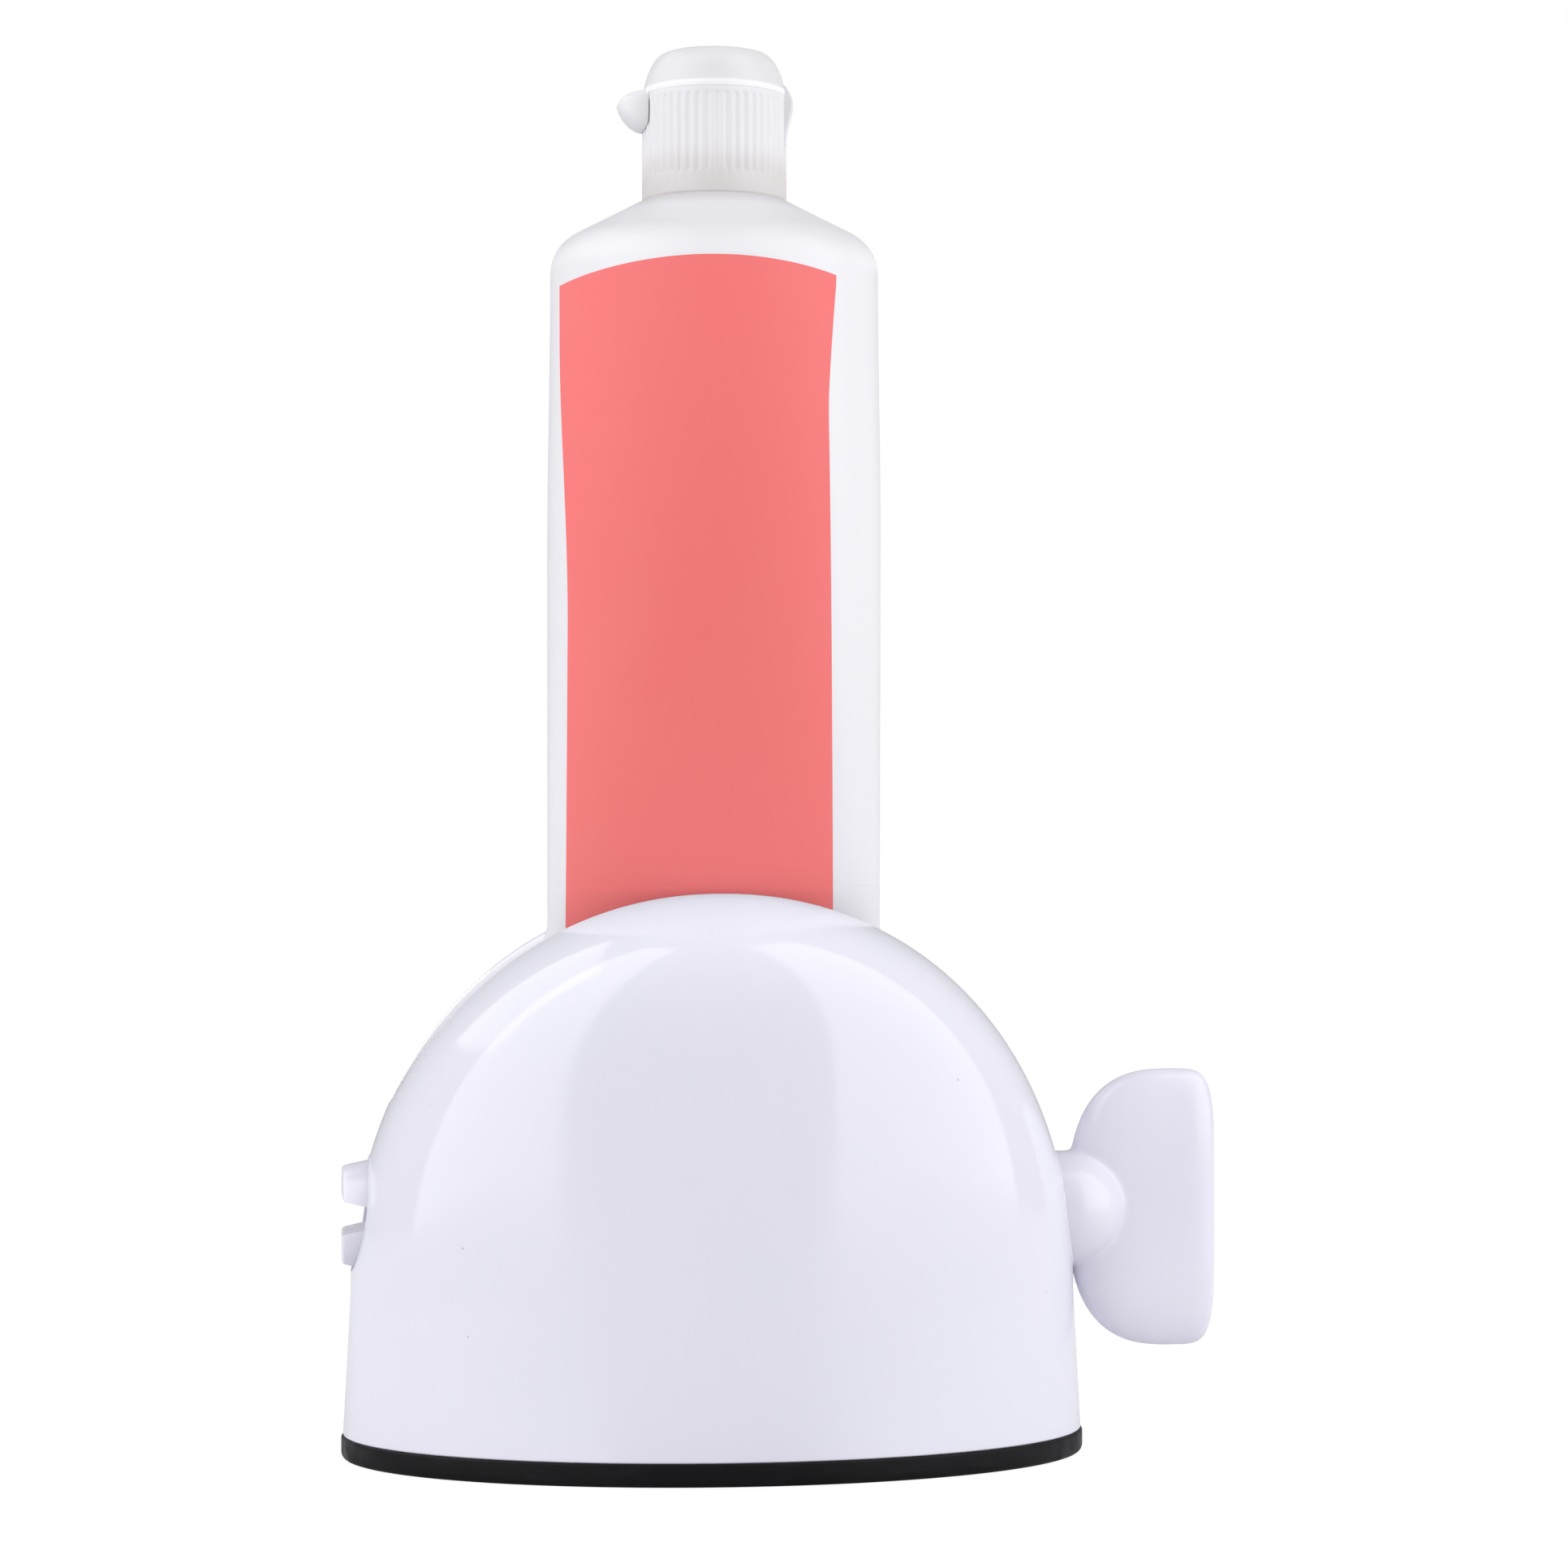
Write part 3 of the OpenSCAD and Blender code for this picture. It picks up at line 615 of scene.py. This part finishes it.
def shell_mesh():
    count = 320
    t = (np.arange(count) + 0.5) * 2 * math.pi / count
    slot = oval(SLOT_L / 2, SLOT_W / 2, SLOT_POWER, t)
    foot = oval(STAND_L / 2, STAND_D / 2, 2, t)
    way = (foot - slot) / np.linalg.norm(foot - slot, axis=1, keepdims=True)
    outer, rim = skin(FOOT_Z + FOOT_R, slot, way, 0, 30, np.linspace(0, 86.5, 30))
    inner = skin(FOOT_Z, slot, way, WALL, 16, np.linspace(0, 90, 12))[0]
    flat = np.column_stack([way, np.zeros(count)])
    low = outer[0] - [0, 0, FOOT_R]
    foot_edge = round_corner(low - flat * FOOT_R, low, outer[0], 4)
    drop = rim - [0, 0, LIP_R]
    lip = round_corner(outer[-1], rim, drop, 6)
    shell = loft("shell", foot_edge[:-1] + outer[:-1] + lip + inner[::-1], SHELL,
                 closed_loop=True)
    holes = [hole_tool(30, 60, BOSS_R + KEY_FIT), hole_tool(-60, -30, PRONG_R + KEY_FIT)]
    cut_with(shell, holes)
    shell.data.materials.clear()
    for finish in (SHELL, GLOWING_SLOT_WALL):
        shell.data.materials.append(finish)
    # The faces of the slot's rear wall take the finish with the painted glow
    for face in shell.data.polygons:
        x, y, z = np.array(face.center) / MM
        ring = abs(x / SLOT_L * 2) ** SLOT_POWER + abs(y / SLOT_W * 2) ** SLOT_POWER
        face.material_index = int(ring < 1.03 and y > 0)
    shade(shell, 30)
    true_normals(shell)
    return shell


def true_normals(obj):
    """Takes the shading of the two skins from their formula, so no cut leaves a mark in it."""
    mesh = obj.data
    co = np.array([v.co for v in mesh.vertices]) / MM
    normals = np.array([n.vector for n in mesh.corner_normals])
    skins = [(dome_normal(co, inset) * side, np.abs(dome(co, inset)) < 0.004, side)
             for inset, side in ((0.0, 1), (WALL, -1))]
    for face in mesh.polygons:
        ids = list(face.vertices)
        for normal, on_skin, side in skins:
            if on_skin[ids].all() and normal[ids].mean(0) @ np.array(face.normal) > 0.9:
                normals[face.loop_start:face.loop_start + face.loop_total] = normal[ids]
    mesh.normals_split_custom_set([tuple(n) for n in normals])


def hole_lip(name, side, radius, bead_r=0.2, count=160, around=12):
    """A fine moulded bead round a key hole, laid along the hole's edge on the skin."""
    start = circle_across(0, radius, angles(count))
    edge = reach(start, np.tile([side, 0.0, 0.0], (count, 1)))
    outward = dome_normal(edge)
    along = np.roll(edge, -1, 0) - np.roll(edge, 1, 0)
    along /= np.linalg.norm(along, axis=1, keepdims=True)
    across = np.cross(along, outward)
    radial = (edge - [0, 0, KEY_H]) * [0, 1, 1]
    radial /= np.linalg.norm(radial, axis=1, keepdims=True)
    middle = edge - outward * bead_r * BEAD_SINK + radial * (bead_r + BEAD_GAP)
    rings = [middle + bead_r * (math.cos(a) * outward + math.sin(a) * across)
             for a in angles(around)]
    return loft(name, rings, SHELL, closed_loop=True)


shell = shell_mesh()
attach(shell, "stand")
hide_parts("housing")
for lip_name, side, radius in (("hole_lip_right", 1, BOSS_R), ("hole_lip_left", -1, PRONG_R)):
    bead = hole_lip(lip_name, side, radius + KEY_FIT)
    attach(bead, "stand")


# The rubber foot
def foot_mesh():
    pad_low, pad_high = span("base_pad")
    half = (pad_high[:2] - pad_low[:2]) / 2
    thick = pad_high[2]
    groove_step, groove_w, groove_d = 6, 1.6, 0.6
    profile = []
    for start in (3 * groove_step, 2 * groove_step, groove_step):
        profile += [(start + groove_w, 0), (start + groove_w, groove_d), (start, groove_d),
                    (start, 0)]
    profile += round_profile([(2, 0), (0, 0), (0, thick), (0.9, thick)], [0, 1.0, 0.3, 0], 6)
    count = 256
    rings = [np.column_stack([oval(half[0] - inset, half[1] - inset, 2, angles(count)),
                              np.full(count, z)]) for inset, z in profile]
    return loft("foot_pad", rings, RUBBER)


pad = foot_mesh()
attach(pad, "stand")
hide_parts("base_pad")

for node, finish in (("base_plate", PLATE), ("base_screws", STEEL)):
    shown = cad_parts[node]
    shown.data.materials.clear()
    shown.data.materials.append(finish)


# The winding key
def wing_part():
    """The flat wing as a pillow in the XZ plane."""
    count = 120
    t = angles(count)
    left = oval(WING_W - WING_PEAK, WING_H / 2, WING_LEFT_POWER, t)
    right = oval(WING_PEAK, WING_H / 2, WING_RIGHT_POWER, t)
    outline = np.where(np.cos(t)[:, None] < 0, left, right)
    sizes = np.maximum(1 - np.linspace(0, 1, 26)[1:] ** 1.8, 0.02)
    levels = [(s, WING_T / 2 * (1 - s ** 5) ** 0.42) for s in sizes]
    rings = []
    for s, y in [(s, -y) for s, y in levels[::-1]] + [(1, 0)] + levels:
        rings.append(np.column_stack([outline[:, 0] * s + BALL_X + WING_W - WING_PEAK,
                                      np.full(count, y), outline[:, 1] * s + KEY_H]))
    return loft("wing", rings, KEY)


def boss_part():
    """The boss and the ball that ends it, turned about the key's axis."""
    ball = [(BOSS_R * math.sin(a), BALL_X + BOSS_R * math.cos(a))
            for a in np.linspace(math.pi / 2, 0.01, 40)]
    profile = [(0.01, BOSS_END), (BOSS_R, BOSS_END)] + ball
    return loft("boss", [circle_across(x, r, angles(128)) for r, x in profile], KEY)


def prong(side):
    """One half-round prong, above (1) or below (-1) the slit."""
    rings = []
    places = [(TIP_X, 0.4), (TIP_X + 0.06, 0.2), (TIP_X + 0.18, 0.06), (TIP_X + 0.4, 0.0),
              (TIP_X + TIP_L, 0.0), (TIP_X + GAP_TAPER_L, 0.0), (BOSS_END - 2, 0.0),
              (BOSS_END + 0.5, 0.0)]
    for x, inset in places:
        r = mix(TIP_R, PRONG_R, clamp((x - TIP_X) / TIP_L)) - inset
        g = mix(TIP_GAP, KEY_GAP, clamp((x - TIP_X) / GAP_TAPER_L)) / 2 + inset
        start = math.asin(g / r)
        arc = np.linspace(start, math.pi - start, 41)
        half = [np.array([r * math.cos(a), r * math.sin(a)]) for a in arc]
        flat = [np.array([c, g]) for c in np.linspace(-r * math.cos(start), r * math.cos(start),
                                                      14)[1:-1]]
        outline = half + flat
        rings.append(np.array([[x, p[0], KEY_H + side * p[1]] for p in outline]))
    return loft("prong", rings, KEY, smooth_angle=40)


def key_mesh():
    head = joined("key_head", [wing_part(), boss_part()])
    blend = head.modifiers.new("blend", "REMESH")
    blend.mode = "VOXEL"
    blend.voxel_size = 0.26 * MM
    soften = head.modifiers.new("soften", "SMOOTH")
    soften.factor = 0.5
    soften.iterations = 14
    applied(head)
    head.data.materials.clear()
    head.data.materials.append(KEY)
    shade(head, 80)
    prongs = [prong(1), prong(-1)]
    return joined("key", [head] + prongs)


key = key_mesh()
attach(key, "key")
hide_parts("winding_key")


# The rolled tail
def spiral_mesh():
    pitch = TAIL_T + TURN_GAP
    start_r = PRONG_R + CORE_GAP + TAIL_T / 2
    wound = TURNS * 2 * math.pi
    corner_y = PRONG_R - 0.04
    line = [(corner_y - 1.5, 0.0), (0.0, 0.0)]
    for a in np.radians(np.arange(90, 181, 15)):
        share = (a - math.pi / 2) / (math.pi / 2)
        line.append((-corner_y + mix(KEY_GAP / 2, start_r - corner_y, share) * math.cos(a),
                     KEY_GAP / 2 * (math.sin(a) - 1)))
    for a in np.linspace(-wound + math.radians(15), 0, 150):
        r = start_r + pitch * (a + wound) / (2 * math.pi)
        line.append((r * math.cos(a), r * math.sin(a)))
    line = np.array(line)
    way = np.gradient(line, axis=0)
    way /= np.linalg.norm(way, axis=1, keepdims=True)
    side = np.stack([-way[:, 1], way[:, 0]], 1)
    band = np.concatenate([line + side * TAIL_T / 2, (line - side * TAIL_T / 2)[::-1]])
    rings = [np.column_stack([np.full(len(band), x), band[:, 0], band[:, 1] + KEY_H])
             for x in (-TAIL_HALF, TAIL_HALF)]
    return loft("rolled_tail", rings, FILM)


roll = spiral_mesh()
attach(roll, "roll")
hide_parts("tail_roll")


# The tube
PINCH_T = SLOT_W / 2 - 0.8
SLOT_TOP = PINCH_H - 1.5
WEB_LOW = KEY_H
WEB_Y = PRONG_R + CORE_GAP + TAIL_T / 2 + (TAIL_T + TURN_GAP) * TURNS + TAIL_T + PART_GAP
WEB_FLAT_H = WEB_LOW + 4
FLARE_TOP = SLOT_TOP - 3
FLARE_LOW = 42.0
TUBE_SWELL = 0.4
TUBE_SWELL_L = 34
TUCK = 0.5
FILM_GAP = 0.05


def tube_half_width(z):
    wide = TUBE_R + TUBE_SWELL * ease((SLEEVE_H - z) / TUBE_SWELL_L)
    return mix(wide, TAIL_HALF, ease((FLARE_TOP - z) / (FLARE_TOP - FLARE_LOW)))


def tube_half_thick(z):
    share = clamp((z - SLOT_TOP) / (SLEEVE_H - SLOT_TOP))
    above = mix(PINCH_T, TUBE_R, math.sin(math.pi / 2 * share))
    below = mix(TAIL_T / 2, PINCH_T, clamp((z - WEB_FLAT_H) / (SLOT_TOP - WEB_FLAT_H)) ** 1.2)
    return above if z > SLOT_TOP else below


def tube_middle(z):
    return WEB_Y * ease((FLARE_TOP - z) / (FLARE_TOP - WEB_FLAT_H))


def tube_ring(z, inset=0.0, count=160):
    ring = oval(tube_half_width(z) - inset, tube_half_thick(z) - inset, 2, angles(count))
    return np.column_stack([ring[:, 0], ring[:, 1] + tube_middle(z), np.full(count, z)])


def flatten_with_feed(obj):
    """Gives the piece its own copy of its mesh."""
    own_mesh(obj)


# The web's last half millimetre is a little narrower and ends inside the sleeve
web_levels = np.linspace(WEB_LOW, PINCH_H - TUCK - 2 * FILM_GAP, 50)
tucked = [tube_ring(z, 0.04) for z in (PINCH_H - TUCK - FILM_GAP, PINCH_H - FILM_GAP)]
web = loft("tail_in_slot", [tube_ring(z) for z in web_levels] + tucked, FILM)
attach(web, "stand")
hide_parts("tail_web")

levels = np.linspace(PINCH_H - TUCK, SLEEVE_H, 60)
sleeve = loft("sleeve", [tube_ring(z) for z in levels]
              + [tube_ring(z, FILM_T) for z in levels[::-1]], FILM, closed_loop=True)
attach(sleeve, "tube")
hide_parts("tube_sleeve")
flatten_with_feed(sleeve)

PASTE_GAP = 1.65
PASTE_LOW = PINCH_H + 0.3
PASTE_TOP = SLEEVE_H - 4.3
paste = loft("paste", [tube_ring(z, FILM_T + PASTE_GAP)
                       for z in np.linspace(PASTE_LOW, PASTE_TOP, 24)], PASTE)
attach(paste, "tube")
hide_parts("toothpaste")
flatten_with_feed(paste)

# The label's corners, and the straight pull of its side edges up the tube
LABEL_LEFT = 18.5
LABEL_RIGHT = 13.9
LABEL_MIDDLE = -2.1
LABEL_FOOT = 56
LABEL_DROP = 0.3
LABEL_ARCH = 1.9
LABEL_T = 0.12
LABEL_BACK = 0.02
UNDER_T = 0.09
UNDER_BACK = 0.05


def label_left(z):
    return LABEL_LEFT + 0.9 * ease((z - 102) / 36)


def label_right(z):
    return LABEL_RIGHT - 1.86 * clamp((z - 67) / 63) + 1.0 * clamp((z - 127) / 17) ** 1.5


def label_sheet(name, low, high, rows=60, under=False):
    """A thin sheet on the tube's front; with under, its top slips below the sheet above."""
    share = np.linspace(0, 1, 61)

    def point(s, k, out):
        top = SLEEVE_H - LABEL_DROP
        z = mix(low, min(high, top), k / rows)
        x = mix(-label_left(z), label_right(z), s)
        arch = LABEL_ARCH * ((x - LABEL_MIDDLE) / (LABEL_LEFT + LABEL_MIDDLE)) ** 2
        z = mix(low, min(high, top - arch), k / rows)
        a = math.asin(clamp(abs(x) / tube_half_width(z))) * (-1 if x < 0 else 1)
        if under and z > PINCH_H - TUCK - 0.2:
            out = UNDER_T if out == LABEL_T else UNDER_BACK
        return ((tube_half_width(z) + out) * math.sin(a),
                tube_middle(z) - (tube_half_thick(z) + out) * math.cos(a), z)

    rings = [np.array([point(s, k, LABEL_T) for s in share]
                      + [point(s, k, LABEL_BACK) for s in share[::-1]])
             for k in range(rows + 1)]
    return loft(name, rings, LABEL)


label_low = label_sheet("label_foot", LABEL_FOOT, PINCH_H - FILM_GAP, under=True)
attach(label_low, "stand")
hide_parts("label_tail")
label_high = label_sheet("label_front", PINCH_H - TUCK, SLEEVE_H)
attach(label_high, "tube")
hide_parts("tube_label")
flatten_with_feed(label_high)
for sheet in (label_low, label_high):
    sheet.visible_diffuse = sheet.visible_glossy = False


# Shoulder and neck
SHOULDER_H = 9.0
CORNER_R = 5.1
HEAD_TOP = SLEEVE_H + SHOULDER_H
NECK_R = 6.6
NECK_BORE = 4.0


def head_mesh():
    top_r = CAP_R + 0.1
    slope = math.atan2(SHOULDER_H - CORNER_R * 0.72, TUBE_R - top_r - CORNER_R * 0.45)
    corner = [(TUBE_R - CORNER_R * (1 - math.cos(a)), SLEEVE_H + CORNER_R * math.sin(a))
              for a in np.linspace(0, math.pi / 2 - slope, 14)]
    skirt = TUBE_R - FILM_T - 0.05
    skirt_low = SLEEVE_H - 0.3
    neck_top = HEAD_TOP + 9.5
    inside = [(NECK_R, HEAD_TOP), (NECK_R, neck_top), (NECK_BORE, neck_top),
              (NECK_BORE, HEAD_TOP - 1.4), (top_r - 0.5, HEAD_TOP - 1.7),
              (TUBE_R - CORNER_R, SLEEVE_H + CORNER_R - 1.4), (skirt - 1.4, skirt_low),
              (skirt, skirt_low), (skirt, SLEEVE_H), (TUBE_R - 0.05, SLEEVE_H)]
    profile = corner + round_profile([(top_r, HEAD_TOP)] + inside,
                                     [0.25, 0.3, 0.3, 0.3, 0, 0, 0, 0, 0, 0, 0])
    return revolve("tube_shoulder", profile, HEAD)


head = head_mesh()
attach(head, "tube")
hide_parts("tube_head")


# Cap
RIBS = 48
RIB_DEPTH = 0.15
BAND_H = 2.1
MOUTH_R = 2.2
MOUTH_LIP_H = 0.7
DECK_T = 1.6
SKIRT_DROP = 0.36
SEAM_GAP = 0.01
TAB_L = 3.15
TAB_H = 4.6
STRAP_W = 6.0
STRAP_BULGE = 0.85
STRAP_SINK = 0.2
STRAP_BELOW = 6.0
STRAP_ABOVE = 1.2


def cap_mesh():
    """The ribbed skirt with its deck and nozzle; ribs swell between two plain bands."""
    steps = 16
    t = angles(RIBS * steps)
    wave = (0.5 - 0.5 * np.cos(t * RIBS)) ** 1.2
    bore = NECK_R + 0.15
    outer = [(CAP_Z - SKIRT_DROP, 0.14, 0), (CAP_Z - 0.2, 0.03, 0), (CAP_Z, 0.0, 0),
             (CAP_Z + BAND_H, 0.0, 0), (CAP_Z + BAND_H + 0.15, 0.0, 0.25),
             (CAP_Z + BAND_H + 0.4, 0.0, 0.8), (CAP_Z + BAND_H + 0.7, 0.0, 1)]
    outer += [(z, 0.0, 1) for z in np.linspace(CAP_Z + 4, SEAM_Z - 1.2, 8)]
    outer += [(SEAM_Z - 0.9, 0, 0.8), (SEAM_Z - 0.7, 0, 0.25), (SEAM_Z - 0.6, 0, 0),
              (SEAM_Z - 0.1, 0, 0), (SEAM_Z, 0.02, 0)]
    rings = [circle_at(z, CAP_R - inset - RIB_DEPTH * depth * wave, t)
             for z, inset, depth in outer]
    deck = round_profile(
        [(MOUTH_R + 1.2, SEAM_Z), (MOUTH_R + 1, SEAM_Z + MOUTH_LIP_H),
         (MOUTH_R, SEAM_Z + MOUTH_LIP_H), (MOUTH_R, SEAM_Z - DECK_T), (bore, SEAM_Z - DECK_T),
         (bore, CAP_Z - SKIRT_DROP)], [0.15, 0.3, 0.3, 0, 0, 0.15], 3)
    rings += [circle_at(z, r, t) for r, z in deck]
    return loft("cap_skirt", rings, CAP, closed_loop=True)


def lid_profile():
    low = SEAM_Z + SEAM_GAP
    rim = CAP_R + 0.03
    wall = CAP_R - 0.15
    top_r = 6.3
    hollow = SEAM_Z + 3.75
    plug = MOUTH_R - 0.15
    outer = [(rim - 1.2, low), (rim, low), (rim, low + BRIM_T), (wall, low + BRIM_T + 0.3),
             (mix(wall, top_r, 0.22), low + 2.9), (mix(wall, top_r, 0.54), low + 4.4),
             (top_r, LID_TOP), (0.01, LID_TOP)]
    inner = [(0.01, SEAM_Z - 0.4), (plug - 0.3, SEAM_Z - 0.4), (plug, SEAM_Z), (plug, hollow),
             (mix(rim, top_r, 0.6) - 1.2, hollow)]
    radii = [0.1, 0.05, 0.25, 0.5, 1.6, 1.4, 1.6, 0, 0, 0.1, 0.1, 0.3, 0.4]
    return round_profile(outer + inner, radii, 6)


def tab_part():
    """The thumb tab: a beak off the lid's brim, away from the hinge, that hugs the skirt."""
    t = angles(48)
    low = SEAM_Z + SEAM_GAP
    back = CAP_R + 0.06
    places = [(CAP_R - 1.0, 0), (back - 0.02, 0)]
    places += [(mix(back, CAP_R + TAB_L, s), s) for s in np.linspace(0, 1, 15)]
    rings = []
    for k, (r, s) in enumerate(places):
        half_w = mix(3.1, 2.2, s ** 1.4) * math.sqrt(max(1 - s ** 6, 0.03))
        top = low + mix(BRIM_T, -0.5, s ** 1.8)
        base = low - mix(TAB_H - 0.2, 2.2, s ** 1.8) if k > 1 else low + 0.02
        half_h = (top - base) / 2 * math.sqrt(max(1 - s ** 6, 0.03))
        ring = oval(half_w, half_h, 3.4, t)
        rings.append(np.column_stack([-np.sqrt(r * r - ring[:, 0] ** 2), ring[:, 0],
                                      ring[:, 1] + (top + base) / 2]))
    return loft("thumb_tab", rings, CAP)


def lid_mesh():
    lid = revolve("lid", lid_profile(), CAP)
    return joined("cap_lid_shell", [lid, tab_part()])


cap = cap_mesh()
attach(cap, "tube")
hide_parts("cap_body")
lid = lid_mesh()
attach(lid, "lid")
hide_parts("cap_lid")


def strap_mesh():
    """The living hinge: a strap that bulges out between the skirt and the lid's rim."""
    rows = 24
    y = np.linspace(-STRAP_W / 2, STRAP_W / 2, 13)
    front = np.sqrt(CAP_R ** 2 - y * y)
    rings = []
    for k in range(rows + 1):
        bulge = STRAP_BULGE * math.sin(math.pi * (k / rows) ** 2)
        outline = np.concatenate([np.column_stack([front + bulge, y]),
                                  np.column_stack([front - STRAP_SINK, y])[::-1]])
        z = mix(SEAM_Z - STRAP_BELOW, SEAM_Z + STRAP_ABOVE, k / rows)
        rings.append(np.column_stack([outline, np.full(len(outline), z)]))
    return loft("cap_strap", rings, STRAP)


strap = strap_mesh()
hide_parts("cap_hinge")
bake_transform(strap)


# Studio
def area_light(name, azimuth, elevation, distance, width, height, power):
    """A soft panel that faces the object. Azimuth 0 is the front and 90 the right."""
    data = bpy.data.lights.new(name, "AREA")
    data.shape = "RECTANGLE"
    data.size, data.size_y = width, height
    data.energy = power
    lamp = bpy.data.objects.new(name, data)
    bpy.context.scene.collection.objects.link(lamp)
    a, e = math.radians(azimuth), math.radians(elevation)
    target = Vector((0, 0, 0.08))
    back = Vector((math.sin(a) * math.cos(e), -math.cos(a) * math.cos(e), math.sin(e)))
    lamp.location = target + back * distance
    lamp.rotation_euler = back.to_track_quat("Z", "Y").to_euler()
    lamp.visible_camera = False
    return lamp


def standing_panel(name, azimuth, distance, half_angle, height, radiance, in_gloss=True):
    """An upright panel whose side edges keep their azimuth at every height."""
    width = 2 * distance * math.tan(math.radians(half_angle))
    lamp = area_light(name, azimuth, 0, distance, width, height,
                      radiance * math.pi * width * height)
    lamp.location.z = height / 2 + 0.002
    lamp.visible_glossy = in_gloss


standing_panel("softbox_left", -62, 0.8, 28.5, 3.0, 1.64)
standing_panel("softbox_right", 58, 0.8, 31, 2.6, 1.63)
standing_panel("fill_left", -122, 0.9, 24, 0.8, 0.6, False)
standing_panel("fill_right", 120, 0.9, 26, 0.8, 0.9, False)
shoulder_glint = area_light("shoulder_glint", -108, 42, 0.9, 0.85, 0.6,
                            1.3 * math.pi * 0.85 * 0.6)
shoulder_glint.visible_diffuse = False


def mixed_shader(tree, share, first, second):
    """All first where the share is 0 and all second where it is 1."""
    mixer = add_node(tree, "ShaderNodeMixShader")
    for socket, source in zip(mixer.inputs, (share, first, second)):
        tree.links.new(source, socket)
    return mixer.outputs[0]


def camera_rays(tree, plain, seen):
    """The camera sees one shader, also through clear things, and all other light another."""
    path = add_node(tree, "ShaderNodeLightPath")
    seen_ray = add_math(tree, "MAXIMUM", path.outputs["Is Camera Ray"],
                        path.outputs["Is Transmission Ray"])
    return mixed_shader(tree, seen_ray, plain, seen)


def make_world():
    world = bpy.data.worlds.new("studio")
    bpy.context.scene.world = world
    world.use_nodes = True
    tree = world.node_tree
    out = tree.nodes["World Output"]
    plain = tree.nodes["Background"]
    plain.inputs["Color"].default_value = (0.98, 0.98, 1.0, 1)
    plain.inputs["Strength"].default_value = 0.435
    seen = add_node(tree, "ShaderNodeBackground")
    seen.inputs["Color"].default_value = (1, 1, 1, 1)
    seen.inputs["Strength"].default_value = 1.0
    tree.links.new(camera_rays(tree, plain.outputs[0], seen.outputs[0]), out.inputs["Surface"])


def front_wedge(tree, where):
    """The floor's colour: a little darker in the gap between the two softboxes, a painted shade
    that the shell reflects and is lit by less there.
    """
    split = add_node(tree, "ShaderNodeSeparateXYZ")
    tree.links.new(where, split.inputs["Vector"])
    back = add_math(tree, "MULTIPLY", split.outputs["Y"], -1)
    angle = add_math(tree, "ARCTAN2", split.outputs["X"], back)
    sides = [add_ramp(tree, angle, math.radians(start), math.radians(end))
             for start, end in ((-28, -23), (25, 20))]
    mixer = add_node(tree, "ShaderNodeMix", data_type="RGBA")
    mixer.inputs[6].default_value = (0.8, 0.8, 0.81, 1)
    mixer.inputs[7].default_value = (0.58, 0.58, 0.59, 1)
    tree.links.new(add_math(tree, "MULTIPLY", *sides), mixer.inputs["Factor"])
    return mixer.outputs[2]


def make_floor():
    size = 6000
    floor = object_from("floor", [(-size, -size, 0), (size, -size, 0), (size, size, 0),
                                  (-size, size, 0)], [(0, 1, 2, 3)], SHELL)
    mat = bpy.data.materials.new("floor_white")
    mat.use_nodes = True
    tree = mat.node_tree
    plain = tree.nodes["Principled BSDF"]
    where = add_node(tree, "ShaderNodeTexCoord").outputs["Object"]
    tree.links.new(front_wedge(tree, where), plain.inputs["Base Color"])
    plain.inputs["Roughness"].default_value = 0.9
    plain.inputs["Specular IOR Level"].default_value = 0.0
    glow = add_node(tree, "ShaderNodeEmission")
    glow.inputs["Color"].default_value = (1, 1, 1, 1)
    glow.inputs["Strength"].default_value = 1.06
    away = add_node(tree, "ShaderNodeVectorMath", operation="LENGTH")
    tree.links.new(where, away.inputs[0])
    share = add_ramp(tree, away.outputs["Value"], 0.15, 0.5, 0.88, 1, "LINEAR")
    part = mixed_shader(tree, share, plain.outputs[0], glow.outputs[0])
    tree.links.new(camera_rays(tree, plain.outputs[0], part),
                   tree.nodes["Material Output"].inputs["Surface"])
    floor.data.materials.clear()
    floor.data.materials.append(mat)


make_world()
make_floor()
bpy.context.scene.view_settings.view_transform = "Standard"
